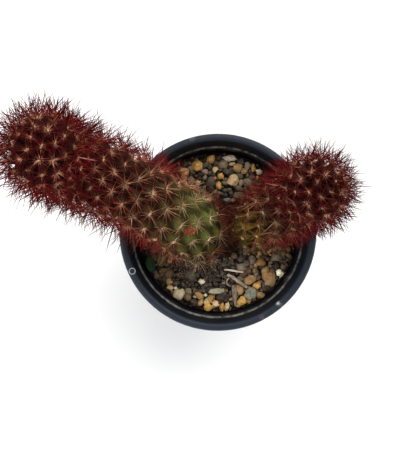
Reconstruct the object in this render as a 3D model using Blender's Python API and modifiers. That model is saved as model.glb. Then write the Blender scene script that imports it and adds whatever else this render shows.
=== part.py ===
"""Potted ladyfinger cactus: two leaning, spiny stems in a round nursery pot filled with gritty soil."""

import math

import bmesh
import bpy
import numpy as np
from mathutils import Euler, Matrix, Vector
from mathutils.bvhtree import BVHTree
from mathutils.geometry import delaunay_2d_cdt

# Lengths are in millimetres, and MM turns them into metres.
MM = 0.001

# Pot
POT_HEIGHT = 80.0
RIM_RADIUS = 45.0
RIM_SKIRT = 8.5
STEP_RADIUS = 38.7
STEP_HEIGHT = 73.9
FLOOR_THICKNESS = 1.4
FLOOR_RADIUS = 31.6
BASE_RADIUS = 32.6
WALL_FOOT = 2.6
POT_SIDES = 48
DRAIN_HOLES = 6
DRAIN_RADIUS = 3.0
DRAIN_CIRCLE = 23.0

# Soil
SEAT_GAP = 0.3
SOIL_LEVEL = 66.3
SOIL_AT_STEMS = 67.6
SOIL_RINGS = (36.9, 30.0, 21.5, 11.5)
PEBBLES_BY_RULE = 54
PEBBLE_SEED = 11

# Stems: five control points of each centreline, from the soil up to the centre of the domed tip
FOOT_HEIGHT = 68.1
STUB_BOTTOM = 57.0
FOOT_SIDES = 20
LOWEST_AREOLE = 70.9
LEFT_LINE = (
    (-11.6, 1.2, 68.1), (-13.9, 5.4, 104.1), (-50.9, 27.8, 104.5), (-64.4, 27.2, 119.1), (-69.2, 31.7, 134.0)
)
LEFT_RADII = (14.8, 14.0)
LEFT_STUB = 12.6
RIGHT_LINE = (
    (16.2, 2.9, 68.1), (17.9, 6.8, 80.4), (27.2, 8.1, 98.0), (33.6, 14.5, 95.5), (39.8, 18.0, 110.0)
)
RIGHT_RADII = (9.6, 13.2)
RIGHT_STUB = 7.6
HOLE_CLEARANCE = 0.4
SPLIT_X = 4.9

# Tubercles and spines: spacing of the areoles at the foot and at the tip of each stem
LEFT_SPACING = (9.2, 5.6)
RIGHT_SPACING = (8.4, 5.3)
TUBERCLE_DEPTH = 2.3
PAD_RADIUS = 0.8
GOLDEN_TURN = math.radians(137.508)
RADIAL_LENGTH = (7.2, 9.8)
RADIAL_RISE = (26.0, 58.0)
CENTRAL_LENGTH = (9.8, 13.2)
CENTRAL_RISE = (60.0, 82.0)
SPINE_CLEAR_Z = 71.2
SHORT_SPINES = 0.72
FULL_SPINES_Z = 93.0
BUD_SPOT = (-12.9, 0.8)
BUD_RADIUS = 1.7

# The larger stones of the top dressing: x, y, length, width and turn in degrees
STONES = (
    (24.2, -21.8, 8.0, 7.2, 70),
    (29.2, -19.3, 3.7, 3.6, 0),
    (15.5, -22.4, 6.1, 4.0, 20),
    (11.4, -32.3, 5.6, 3.7, 25),
    (-5.0, -32.7, 3.7, 2.8, 80),
    (-2.9, -31.0, 4.0, 3.3, 60),
    (-1.2, -33.6, 4.2, 3.7, 10),
    (-4.4, -35.0, 3.9, 3.6, 0),
    (2.2, -35.0, 4.2, 2.2, 85),
    (4.4, -34.8, 4.2, 2.2, 80),
    (-17.8, -28.9, 5.6, 5.2, 30),
    (27.4, -11.2, 6.6, 6.0, 40),
    (14.6, -18.2, 3.8, 3.4, 0),
    (-7.4, -23.1, 3.1, 2.4, 20),
    (-9.6, 31.0, 5.5, 5.3, 0),
    (-3.1, 34.2, 4.5, 3.6, 30),
    (5.8, 34.7, 6.4, 3.0, 0),
    (2.6, 31.9, 5.0, 4.8, 50),
    (-0.9, 29.6, 3.4, 3.0, 70),
    (-5.7, 28.4, 4.0, 2.8, 160),
    (9.5, 30.2, 4.4, 4.0, 30),
    (14.1, 31.4, 3.8, 3.0, 80),
    (16.8, 30.2, 3.8, 2.5, 95),
    (19.6, 28.4, 2.9, 2.7, 0),
    (0.7, 21.9, 4.8, 3.1, 95),
    (7.2, 24.2, 5.6, 5.0, 60),
)
LARGE_STONE = 6.3


def clear_scene():
    for thing in list(bpy.data.objects):
        bpy.data.objects.remove(thing, do_unlink=True)


def new_collection(name, hidden=False):
    group = bpy.data.collections.new(name)
    bpy.context.scene.collection.children.link(group)
    group.hide_render = hidden
    return group


def new_material(name, colour, roughness):
    material = bpy.data.materials.new(name)
    material.use_nodes = True
    shader = material.node_tree.nodes["Principled BSDF"]
    shader.inputs["Base Color"].default_value = (*colour, 1.0)
    shader.inputs["Roughness"].default_value = roughness
    shader.inputs["Metallic"].default_value = 0.0
    return material


def new_object(name, points, faces, group, material=None, edges=()):
    """An object from points in millimetres."""
    mesh = bpy.data.meshes.new(name)
    scaled = [tuple(float(c) * MM for c in point) for point in points]
    mesh.from_pydata(scaled, edges, faces)
    mesh.update()
    made = bpy.data.objects.new(name, mesh)
    group.objects.link(made)
    if material:
        mesh.materials.append(material)
    return made


def apply_modifiers(thing):
    bpy.context.view_layer.update()
    graph = bpy.context.evaluated_depsgraph_get()
    mesh = bpy.data.meshes.new_from_object(thing.evaluated_get(graph))
    thing.modifiers.clear()
    thing.data = mesh


def add_boolean(thing, operation, other=None, group=None, solver="EXACT"):
    modifier = thing.modifiers.new(operation.lower(), "BOOLEAN")
    modifier.operation = operation
    modifier.solver = solver
    if group:
        modifier.operand_type = "COLLECTION"
        modifier.collection = group
    else:
        modifier.object = other


def remove_objects(group):
    for thing in list(group.objects):
        bpy.data.objects.remove(thing, do_unlink=True)


def face_outwards(mesh):
    bm = bmesh.new()
    bm.from_mesh(mesh)
    bmesh.ops.remove_doubles(bm, verts=bm.verts, dist=0.01 * MM)
    bmesh.ops.recalc_face_normals(bm, faces=bm.faces)
    bm.to_mesh(mesh)
    bm.free()


def shade_round(thing, angle=35.0):
    thing.data.shade_smooth()
    thing.data.set_sharp_from_angle(angle=math.radians(angle))


def revolved(name, profile, group, material):
    """A body of revolution from (radius, height) points that run down its outer side."""
    points = [(radius, 0.0, height) for radius, height in profile]
    edges = [(i, i + 1) for i in range(len(points) - 1)]
    thing = new_object(name, points, [], group, material, edges)
    screw = thing.modifiers.new("turn", "SCREW")
    screw.axis = "Z"
    screw.steps = POT_SIDES
    screw.render_steps = POT_SIDES
    screw.use_merge_vertices = True
    screw.merge_threshold = 0.0001
    apply_modifiers(thing)
    return thing


def cylinder(name, radius, bottom, top, centre, sides, group):
    turns = [2 * math.pi * k / sides for k in range(sides)]
    ring = [(centre[0] + radius * math.cos(a), centre[1] + radius * math.sin(a)) for a in turns]
    points = [(x, y, bottom) for x, y in ring] + [(x, y, top) for x, y in ring]
    sides_faces = [(k, (k + 1) % sides, sides + (k + 1) % sides, sides + k) for k in range(sides)]
    caps = [tuple(range(sides))[::-1], tuple(range(sides, 2 * sides))]
    thing = new_object(name, points, sides_faces + caps, group)
    thing.hide_render = True
    thing.display_type = "WIRE"
    return thing


# Pot: inner floor, wall, step, rolled rim, outer skirt, outer wall and flat base
def inner_radius(height):
    """Radius of the pot's inner wall at a height below the step."""
    share = (height - WALL_FOOT) / (STEP_HEIGHT - WALL_FOOT)
    return FLOOR_RADIUS + (STEP_RADIUS - FLOOR_RADIUS) * share


def build_pot(group, cutters, material):
    profile = (
        (0.0, FLOOR_THICKNESS),
        (FLOOR_RADIUS - 1.0, FLOOR_THICKNESS),
        (FLOOR_RADIUS, WALL_FOOT),
        (STEP_RADIUS, STEP_HEIGHT),
        (STEP_RADIUS + 0.8, STEP_HEIGHT + 0.25),
        (RIM_RADIUS - 3.9, POT_HEIGHT - 1.3),
        (RIM_RADIUS - 3.0, POT_HEIGHT - 0.25),
        (RIM_RADIUS - 1.9, POT_HEIGHT),
        (RIM_RADIUS - 0.7, POT_HEIGHT - 0.4),
        (RIM_RADIUS, POT_HEIGHT - 1.7),
        (RIM_RADIUS - 0.3, POT_HEIGHT - RIM_SKIRT),
        (RIM_RADIUS - 1.4, POT_HEIGHT - RIM_SKIRT),
        (RIM_RADIUS - 1.9, POT_HEIGHT - 3.4),
        (STEP_RADIUS + 2.7, POT_HEIGHT - 4.6),
        (STEP_RADIUS + 1.35, STEP_HEIGHT - 1.6),
        (BASE_RADIUS + 0.3, 1.0),
        (BASE_RADIUS - 0.6, 0.0),
        (0.0, 0.0),
    )
    pot = revolved("pot", profile, group, material)
    for k in range(DRAIN_HOLES):
        turn = 2 * math.pi * (k + 0.5) / DRAIN_HOLES
        centre = (DRAIN_CIRCLE * math.cos(turn), DRAIN_CIRCLE * math.sin(turn))
        cylinder("drain_cutter", DRAIN_RADIUS, -2.0, FLOOR_THICKNESS + 2.0, centre, 12, cutters)
    add_boolean(pot, "DIFFERENCE", group=cutters)
    apply_modifiers(pot)
    remove_objects(cutters)
    shade_round(pot)
    return pot


# Soil: a body that fills the pot, its top raised and pitted, with stones joined to it
def stem_feet():
    return (
        (LEFT_LINE[0][0], LEFT_LINE[0][1], LEFT_RADII[0], LEFT_STUB),
        (RIGHT_LINE[0][0], RIGHT_LINE[0][1], RIGHT_RADII[0], RIGHT_STUB),
    )


def foot_distance(x, y):
    """Distance outside the nearer stem's foot."""
    return min(math.hypot(x - foot[0], y - foot[1]) - foot[2] for foot in stem_feet())


def soil_height(x, y):
    relief = 0.55 * math.sin(0.9 * x + 1.7) * math.sin(0.8 * y + 0.4)
    relief += 0.4 * math.sin(1.7 * x - 1.1 * y + 2.0)
    near = max(0.0, min(1.0, 1.0 - foot_distance(x, y) / 7.0))
    plain = SOIL_LEVEL + (SOIL_AT_STEMS - SOIL_LEVEL) * near
    return plain + relief * (1.0 - near) * 0.9


def pebble(name, place, size, turn, draw, fine, group):
    bpy.ops.mesh.primitive_ico_sphere_add(subdivisions=2 if fine else 1, radius=0.5 * MM)
    stone = bpy.context.object
    stone.name = name
    for vertex in stone.data.vertices:
        vertex.co *= 1.0 + 0.16 * (draw.random() - 0.5)
    tilt = Euler((draw.uniform(-0.2, 0.2), draw.uniform(-0.2, 0.2), turn)).to_matrix().to_4x4()
    stretch = Matrix.Diagonal((*[1.12 * side for side in size], 1.0))
    stone.data.transform(Matrix.Translation(Vector(place) * MM) @ tilt @ stretch)
    for owner in list(stone.users_collection):
        owner.objects.unlink(stone)
    group.objects.link(stone)


def scatter_stones(group):
    """The larger stones where they lie, then others by rule wherever there is room."""
    draw = np.random.default_rng(PEBBLE_SEED)
    placed = []
    for x, y, long, wide, turn in STONES:
        placed.append((x, y, long, wide, math.radians(turn)))
    tries = 0
    while len(placed) < len(STONES) + PEBBLES_BY_RULE and tries < 20000:
        tries += 1
        long = draw.uniform(4.0, 6.6)
        wide = long * draw.uniform(0.68, 0.95)
        away = math.sqrt(draw.random()) * (36.6 - 0.56 * long)
        bearing = draw.uniform(0.0, 2 * math.pi)
        x, y = away * math.cos(bearing), away * math.sin(bearing)
        if foot_distance(x, y) < 0.5 * long - 1.0:
            continue
        if any(math.hypot(x - p[0], y - p[1]) < 0.42 * (long + p[2]) for p in placed):
            continue
        placed.append((x, y, long, wide, draw.uniform(0.0, math.pi)))
    for index, (x, y, long, wide, turn) in enumerate(placed):
        tall = 0.78 * wide
        top = soil_height(x, y) + 0.55 * tall
        highest = 67.7 if foot_distance(x, y) < 0.5 * long + 3.0 else 69.6
        centre = min(top, highest) - 0.56 * tall
        pebble("stone", (x, y, centre), (long, wide, tall), turn, draw, long > LARGE_STONE, group)


def build_soil(group, stones, cutters, material):
    bottom = FLOOR_THICKNESS + SEAT_GAP
    gap = SEAT_GAP + 0.05
    profile = [(0.0, SOIL_LEVEL)]
    profile += [(radius, SOIL_LEVEL) for radius in reversed(SOIL_RINGS)]
    profile += [
        (inner_radius(SOIL_LEVEL - 1.0) - gap, SOIL_LEVEL - 0.6),
        (FLOOR_RADIUS - gap, WALL_FOOT + 0.1),
        (FLOOR_RADIUS - 1.2, bottom),
        (0.0, bottom),
    ]
    soil = revolved("soil", profile, group, material)
    for vertex in soil.data.vertices:
        x, y, z = vertex.co / MM
        if z > SOIL_LEVEL - 0.1:
            vertex.co.z = soil_height(x, y) * MM
    scatter_stones(stones)
    add_boolean(soil, "UNION", group=stones, solver="MANIFOLD")
    apply_modifiers(soil)
    remove_objects(stones)
    for x, y, _, stub in stem_feet():
        cylinder("hole_cutter", stub + HOLE_CLEARANCE, STUB_BOTTOM - SEAT_GAP, 90.0, (x, y), 24, cutters)
    add_boolean(soil, "DIFFERENCE", group=cutters)
    apply_modifiers(soil)
    remove_objects(cutters)
    return soil


# Stems: a bent centreline, areoles in a golden-angle spiral, and a tubercle with its spines on each
def bent_line(control, samples=240):
    """Points, directions, two cross directions and running length of a centreline."""
    last = len(control) - 1
    t = np.linspace(0.0, 1.0, samples)[:, None]
    points = 0.0
    for k, place in enumerate(control):
        points = points + math.comb(last, k) * (1 - t) ** (last - k) * t**k * np.array(place, float)
    along = np.gradient(points, axis=0)
    along /= np.linalg.norm(along, axis=1)[:, None]
    across = np.empty_like(along)
    side = np.array((1.0, 0.0, 0.0))
    for k, direction in enumerate(along):
        side = side - direction * side.dot(direction)
        side /= np.linalg.norm(side)
        across[k] = side
    other = np.cross(along, across)
    steps = np.linalg.norm(np.diff(points, axis=0), axis=1)
    return points, along, across, other, np.concatenate([[0.0], np.cumsum(steps)])


def on_stem(line, radii, run, polar, turn, lift):
    """A point on the stem: run along the centreline, polar angle on the dome (90 on the side)."""
    points, along, across, other, length = line

    def at(values):
        return np.array([np.interp(run, length, values[:, k]) for k in range(3)])

    outward = at(across) * math.cos(turn) + at(other) * math.sin(turn)
    normal = outward * math.sin(polar) + at(along) * math.cos(polar)
    normal /= np.linalg.norm(normal)
    radius = radii[0] + (radii[1] - radii[0]) * run / length[-1]
    return at(points) + normal * (radius + lift), normal


def areole_spiral(total, radii, spacings):
    """Run, polar angle and turn of every areole, from the tip's middle downwards."""
    found = []
    depth = 0.0
    while True:
        share = depth / (total + radii[1])
        spacing = spacings[1] + (spacings[0] - spacings[1]) * share**0.7
        run = min(total, total + radii[1] - depth)
        radius = radii[0] + (radii[1] - radii[0]) * run / total
        step = 0.866 * spacing**2 / (2 * math.pi * radius)
        middle = depth + 0.5 * step
        turn = len(found) * GOLDEN_TURN
        if middle < radii[1]:
            found.append((total, math.acos(1.0 - middle / radii[1]), turn))
        elif middle < total + radii[1]:
            found.append((total + radii[1] - middle, 0.5 * math.pi, turn))
        else:
            return found
        depth += step


def flat_distance(run, polar, total, radius):
    """Distance from the middle in a flat map of the stem that keeps small shapes true."""
    return math.tan(0.5 * polar) * math.exp((total - run) / radius)


def segment_gap(p, u, q, v):
    """Shortest distance between pairs of segments, and where on each it falls."""
    w = p - q
    a = (u * u).sum(1)
    b = (u * v).sum(1)
    c = (v * v).sum(1)
    d = (u * w).sum(1)
    e = (v * w).sum(1)
    s = np.clip((b * e - c * d) / np.maximum(a * c - b * b, 1e-9), 0.0, 1.0)
    t = np.clip((b * s + e) / c, 0.0, 1.0)
    s = np.clip((b * t - d) / a, 0.0, 1.0)
    return np.linalg.norm(w + u * s[:, None] - v * t[:, None], axis=1), s, t


def touching(roots, tips, owner, pairs):
    first, second = pairs
    gap, s, t = segment_gap(
        roots[first], tips[first] - roots[first], roots[second], tips[second] - roots[second]
    )
    allowed = 0.55 * PAD_RADIUS * ((1.0 - s) + (1.0 - t)) + 0.12
    return gap < allowed


def blocked(root, tip, left):
    """Whether a spine would reach the pot, the stones or the other stem."""
    for share in np.linspace(0.15, 1.0, 18):
        x, y, z = root + (tip - root) * share
        away = math.hypot(x, y)
        beyond = x > SPLIT_X - 0.3 if left else x < SPLIT_X + 0.3
        if beyond and z < 96.0:
            return True
        if away < RIM_RADIUS + 0.6 and z < POT_HEIGHT + 0.6:
            wall = inner_radius(z) if z < STEP_HEIGHT else RIM_RADIUS - 6.0
            if away > wall - 0.8:
                return True
            if share > 0.5 and z < SPINE_CLEAR_Z - 0.8 and foot_distance(x, y) > 0.0:
                return True
    return False


def bent_clear(root, tip, left):
    """The spine raised, and then shortened, until nothing is in its way."""
    length = np.linalg.norm(tip - root)
    for attempt in range(24):
        if not blocked(root, tip, left):
            return tip
        if attempt < 8:
            tip = tip + np.array((0.0, 0.0, 0.12 * length))
            tip = root + (tip - root) * length / np.linalg.norm(tip - root)
        else:
            tip = root + (tip - root) * 0.86
    return tip


def aim(normal, outward, rise, swing, length):
    side = np.cross(normal, outward)
    flat = outward * math.cos(swing) + side * math.sin(swing)
    return (flat * math.cos(rise) + normal * math.sin(rise)) * length


def settle(roots, frames, owner, draw, left):
    """Tips of all spines, none of which touch one another."""
    count = len(roots)
    central = np.array([frame[2] for frame in frames])

    def draw_tip(k, spread):
        normal, outward, is_central = frames[k]
        low, high = CENTRAL_RISE if is_central else RADIAL_RISE
        near, far = CENTRAL_LENGTH if is_central else RADIAL_LENGTH
        rise = math.radians(draw.uniform(low, high))
        swing = math.radians(draw.uniform(-spread, spread))
        grown = min(1.0, (roots[k][2] - FOOT_HEIGHT) / (FULL_SPINES_Z - FOOT_HEIGHT))
        length = draw.uniform(near, far) * (SHORT_SPINES + (1.0 - SHORT_SPINES) * grown)
        tip = roots[k] + aim(normal, outward, rise, swing, length)
        return bent_clear(roots[k], tip, left)

    tips = np.array([draw_tip(k, 10.0) for k in range(count)])
    reach = 2 * CENTRAL_LENGTH[1] + 1.0
    first, second = np.triu_indices(count, 1)
    near = np.linalg.norm(roots[first] - roots[second], axis=1) < reach
    near &= owner[first] != owner[second]
    pairs = (first[near], second[near])
    for attempt in range(40):
        hits = touching(roots, tips, owner, pairs)
        if not hits.any():
            break
        for k in np.unique(pairs[1][hits]):
            if attempt < 16:
                tips[k] = draw_tip(k, 17.0)
            else:
                tips[k] = roots[k] + (tips[k] - roots[k]) * 0.85
    return tips, central


def build_stem(name, control, radii, spacings, stub, seed, group, material, left):
    draw = np.random.default_rng(seed)
    line = bent_line(control)
    total = line[4][-1]
    girth = 0.5 * (radii[0] + radii[1])
    areoles = areole_spiral(total, radii, spacings)
    areoles = [a for a in areoles if on_stem(line, radii, *a, 0.0)[0][2] > LOWEST_AREOLE]
    centre = np.array(control[0][:2])

    # The flat map joins each areole to its neighbours, with a plain ring round the foot
    flat = []
    for run, polar, turn in areoles:
        away = flat_distance(run, polar, total, girth)
        flat.append((away * math.cos(turn), away * math.sin(turn)))
    edge = flat_distance(-4.0, 0.5 * math.pi, total, girth)
    ring_turns = [2 * math.pi * k / FOOT_SIDES for k in range(FOOT_SIDES)]
    flat += [(edge * math.cos(a), edge * math.sin(a)) for a in ring_turns]
    result = delaunay_2d_cdt([Vector(p) for p in flat], [], [], 0, 1e-7)
    source = [entries[0] for entries in result[3]]
    triangles = [tuple(source[i] for i in face) for face in result[2]]
    areole_count = len(areoles)

    # Corner points, one for every areole and every ring point
    places = [on_stem(line, radii, *areole, 0.0) for areole in areoles]
    tops = np.array([p for p, _ in places])
    normals = np.array([n for _, n in places])
    across, other = line[2][0], line[3][0]
    ring = []
    for a in ring_turns:
        outward = across * math.cos(a) + other * math.sin(a)
        flat_out = outward[:2] / np.linalg.norm(outward[:2])
        ring.append((*(centre + flat_out * stub), FOOT_HEIGHT))
    corners = np.concatenate([tops, np.array(ring)])

    # A sunken point for every triangle
    around = [[] for _ in corners]
    valleys = []
    for index, triangle in enumerate(triangles):
        for corner in triangle:
            around[corner].append(index)
        middle = corners[list(triangle)].mean(axis=0)
        areole_corners = [c for c in triangle if c < areole_count]
        if len(areole_corners) == 3:
            spread = np.linalg.norm(corners[list(triangle)] - middle, axis=1).mean()
            sink = min(TUBERCLE_DEPTH, 0.55 * spread)
        else:
            sink = 0.5
        normal = normals[areole_corners].mean(axis=0) if areole_corners else np.array((0, 0, 1.0))
        valleys.append(middle - normal / np.linalg.norm(normal) * sink)
    valleys = np.array(valleys)

    points = [tuple(p) for p in valleys]
    faces = []
    roots, frames, owner, places_of = [], [], [], []
    edge_owner = {}
    for index, triangle in enumerate(triangles):
        for k in range(3):
            edge_owner[(triangle[k], triangle[(k + 1) % 3])] = index
    for corner in range(areole_count):
        # Its triangles in order round the areole
        loop = []
        current = around[corner][0]
        while current not in loop:
            loop.append(current)
            triangle = triangles[current]
            following = triangle[(triangle.index(corner) + 2) % 3]
            current = edge_owner[(corner, following)]
        top, normal = tops[corner], normals[corner]
        spokes = []
        for index in loop:
            spoke = valleys[index] - top
            spokes.append(spoke - normal * spoke.dot(normal))
        pad = PAD_RADIUS * min(1.0, min(np.linalg.norm(s) for s in spokes) / 2.6)
        middle = len(points)
        points.append(tuple(top + normal * 0.12))
        for spoke in spokes:
            points.append(tuple(top + spoke / np.linalg.norm(spoke) * pad))
        count = len(loop)
        first_central = int(draw.integers(count))
        centrals = {first_central, (first_central + count // 2) % count}
        for k in range(count):
            here, there = middle + 1 + k, middle + 1 + (k + 1) % count
            low, next_low = loop[k], loop[(k + 1) % count]
            faces += [(here, low, next_low), (here, next_low, there)]
            root = (np.array(points[middle]) + points[here] + points[there]) / 3
            outward = root - points[middle]
            outward = outward - normal * outward.dot(normal)
            roots.append(root)
            frames.append((normal, outward / np.linalg.norm(outward), k in centrals))
            owner.append(corner)
            places_of.append((middle, here, there))

    tips, _ = settle(np.array(roots), frames, np.array(owner), draw, left)
    for tip, (middle, here, there) in zip(tips, places_of):
        index = len(points)
        points.append(tuple(tip))
        faces += [(middle, here, index), (here, there, index), (there, middle, index)]

    # The plain foot: ring cells, then a stub that stands in the soil
    ring_start = len(points)
    points += [tuple(p) for p in ring]
    points += [(x, y, STUB_BOTTOM) for x, y, _ in ring]
    for k in range(FOOT_SIDES):
        here, following = areole_count + k, areole_count + (k + 1) % FOOT_SIDES
        for index in around[here]:
            triangle = triangles[index]
            spot = triangle.index(here)
            ahead, behind = triangle[(spot + 1) % 3], triangle[(spot + 2) % 3]
            if (here, behind) in edge_owner:
                faces.append((ring_start + k, index, edge_owner[(here, behind)]))
            if ahead == following:
                faces.append((ring_start + k, ring_start + (k + 1) % FOOT_SIDES, index))
        lower = ring_start + FOOT_SIDES
        after = (k + 1) % FOOT_SIDES
        faces.append((ring_start + k, lower + k, lower + after, ring_start + after))
    faces.append(tuple(ring_start + FOOT_SIDES + k for k in reversed(range(FOOT_SIDES))))
    stem = new_object(name, points, faces, group, material)
    face_outwards(stem.data)
    return stem, tops, normals


def add_bud(stem, tops, normals, cutters):
    """A small spiny offset in the axil nearest to the wanted spot, seen from above."""
    facing = normals[:, 2] > 0.6
    away = np.hypot(tops[:, 0] - BUD_SPOT[0], tops[:, 1] - BUD_SPOT[1])
    index = int(np.argmin(np.where(facing, away, 1e6)))
    place = np.array((*BUD_SPOT, tops[index, 2])) - normals[index] * 0.9
    bpy.ops.mesh.primitive_ico_sphere_add(subdivisions=1, radius=BUD_RADIUS * MM)
    bud = bpy.context.object
    bm = bmesh.new()
    bm.from_mesh(bud.data)
    spread = bmesh.ops.poke(bm, faces=bm.faces, offset=0.0)
    for vertex in spread["verts"]:
        vertex.co *= 2.1
    for vertex in bm.verts:
        vertex.co += Vector(place) * MM
    bm.to_mesh(bud.data)
    bm.free()
    for owner in list(bud.users_collection):
        owner.objects.unlink(bud)
    cutters.objects.link(bud)
    add_boolean(stem, "UNION", group=cutters, solver="MANIFOLD")
    apply_modifiers(stem)
    remove_objects(cutters)


# Loose bits on the soil
def tube(name, path, radii, group, material):
    """A dry twig or root: a curve with a round section and closed ends."""
    curve = bpy.data.curves.new(name, "CURVE")
    curve.dimensions = "3D"
    curve.bevel_depth = MM
    curve.bevel_resolution = 1
    curve.use_fill_caps = True
    curve.resolution_u = 3
    spline = curve.splines.new("NURBS")
    spline.points.add(len(path) - 1)
    spline.use_endpoint_u = True
    spline.order_u = 3
    for point, place, radius in zip(spline.points, path, radii):
        point.co = (*[c * MM for c in place], 1.0)
        point.radius = radius
    made = bpy.data.objects.new(name + "_curve", curve)
    group.objects.link(made)
    bpy.context.view_layer.update()
    graph = bpy.context.evaluated_depsgraph_get()
    mesh = bpy.data.meshes.new_from_object(made.evaluated_get(graph))
    bpy.data.objects.remove(made, do_unlink=True)
    thing = bpy.data.objects.new(name, mesh)
    group.objects.link(thing)
    mesh.materials.append(material)
    face_outwards(mesh)
    return thing


def chip(name, outline, thickness, place, turn, group, material):
    """A flat bit of bark from its outline, with softened edges."""
    count = len(outline)
    low = [(x, y, -0.5 * thickness) for x, y in outline]
    high = [(0.92 * x, 0.92 * y, 0.5 * thickness) for x, y in outline]
    walls = [(k, (k + 1) % count, count + (k + 1) % count, count + k) for k in range(count)]
    caps = [tuple(range(count))[::-1], tuple(range(count, 2 * count))]
    thing = new_object(name, low + high, walls + caps, group, material)
    face_outwards(thing.data)
    bevel = thing.modifiers.new("soften", "BEVEL")
    bevel.width = 0.22 * thickness * MM
    bevel.segments = 1
    apply_modifiers(thing)
    spin = Matrix.Rotation(math.radians(turn), 4, "Z")
    thing.data.transform(Matrix.Translation(Vector(place) * MM) @ spin)
    return thing


def leaf(name, length, width, place, turn, tilt, curl, group, material):
    """A small ovate blade, folded a little along its middle and curled to its tip."""
    rows = 6
    points = []
    faces = []
    for k in range(rows + 1):
        share = k / rows
        half = 0.5 * width * (math.sin(math.pi * min(1.0, share * 0.93 + 0.07)) ** 0.8 + 0.06)
        along = (share - 0.5) * length
        droop = -curl * share * share
        points += [(along, -half, droop + 0.18 * half), (along, 0, droop), (along, half, droop + 0.18 * half)]
    for k in range(rows):
        for side in range(2):
            a = 3 * k + side
            faces.append((a, a + 3, a + 4, a + 1))
    thing = new_object(name, points, faces, group, material)
    solid = thing.modifiers.new("thickness", "SOLIDIFY")
    solid.thickness = 0.65 * MM
    solid.offset = 0.0
    apply_modifiers(thing)
    face_outwards(thing.data)
    lean = Euler((math.radians(tilt), 0.0, math.radians(turn))).to_matrix().to_4x4()
    thing.data.transform(Matrix.Translation(Vector(place) * MM) @ lean)
    return thing


def tree_of(thing):
    points = [vertex.co / MM for vertex in thing.data.vertices]
    faces = [tuple(polygon.vertices) for polygon in thing.data.polygons]
    return BVHTree.FromPolygons(points, faces)


def lay_on(thing, trees):
    """Lower a bit from above until it is a seat's gap clear of what lies under it."""
    down, up = Vector((0.0, 0.0, -1.0)), Vector((0.0, 0.0, 1.0))
    own = tree_of(thing)
    spots = [vertex.co / MM for vertex in thing.data.vertices]
    spots += [Vector(polygon.center) / MM for polygon in thing.data.polygons]
    low = min(spot.z for spot in spots)
    room = 1e6
    for tree in trees:
        for spot in spots:
            hit = tree.ray_cast(spot, down)[0]
            if hit:
                room = min(room, spot.z - hit.z)
    box = [f(getattr(s, axis) for s in spots) for axis in "xy" for f in (min, max)]
    for x in np.arange(box[0], box[1], 0.2):
        for y in np.arange(box[2], box[3], 0.2):
            under = own.ray_cast(Vector((x, y, low - 5.0)), up)[0]
            if not under:
                continue
            for tree in trees:
                hit = tree.ray_cast(under, down)[0]
                if hit:
                    room = min(room, under.z - hit.z)
    thing.data.transform(Matrix.Translation((0.0, 0.0, -(room - SEAT_GAP - 0.02) * MM)))


def build_bits(group, soil, materials):
    high = 76.0
    trees = [tree_of(soil)]
    pale = ((3.2, -17.6, high), (6.0, -17.4, high), (8.6, -18.4, high), (12.0, -18.6, high))
    tan = ((4.6, -19.8, high), (7.4, -21.0, high - 0.2), (10.6, -23.6, high), (13.9, -25.9, high))
    root = ((5.6, -21.4, high), (4.2, -22.4, high), (4.4, -24.4, high), (6.2, -25.2, high))
    blade = ((-1.2, 5.2), (1.1, 5.4), (1.4, 2.0), (0.8, -2.5), (0.3, -5.4), (-0.3, -5.2), (-1.0, -0.5))
    grey = ((-3.9, -0.8), (-1.5, -1.4), (2.6, -1.3), (4.0, -0.4), (3.6, 1.0), (0.4, 1.3), (-3.2, 1.1))
    stone = ((-2.3, -2.6), (0.4, -3.2), (2.6, -1.6), (2.9, 1.2), (1.1, 3.2), (-1.6, 2.9), (-2.9, 0.2))
    bits = [
        tube("twig_tan", tan, (0.62, 0.8, 0.78, 0.6), group, materials["twig"]),
        tube("twig_pale", pale, (0.36, 0.46, 0.46, 0.4), group, materials["pale_twig"]),
        tube("rootlet", root, (0.36, 0.4, 0.4, 0.32), group, materials["twig"]),
        chip("bark_grey", grey, 1.3, (-0.5, -27.4, high), 3.0, group, materials["grey_bark"]),
        chip("bark_blade", blade, 1.0, (8.0, -29.6, high), 4.0, group, materials["grey_bark"]),
        chip("chip_pale", stone, 1.7, (15.6, -28.6, high), -12.0, group, materials["grey_chip"]),
        leaf("leaf_green", 7.6, 4.4, (-31.4, -14.6, high), 100.0, 14.0, 0.7, group, materials["leaf"]),
        leaf("leaf_olive", 5.4, 4.4, (-25.9, -13.2, high), 60.0, -6.0, 0.4, group, materials["olive"]),
        leaf("leaf_scrap", 4.2, 2.4, (-25.4, -17.9, high), 20.0, 8.0, 0.3, group, materials["olive"]),
    ]
    for bit in bits:
        lay_on(bit, trees)
        trees.append(tree_of(bit))
        shade_round(bit, 50.0)


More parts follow.
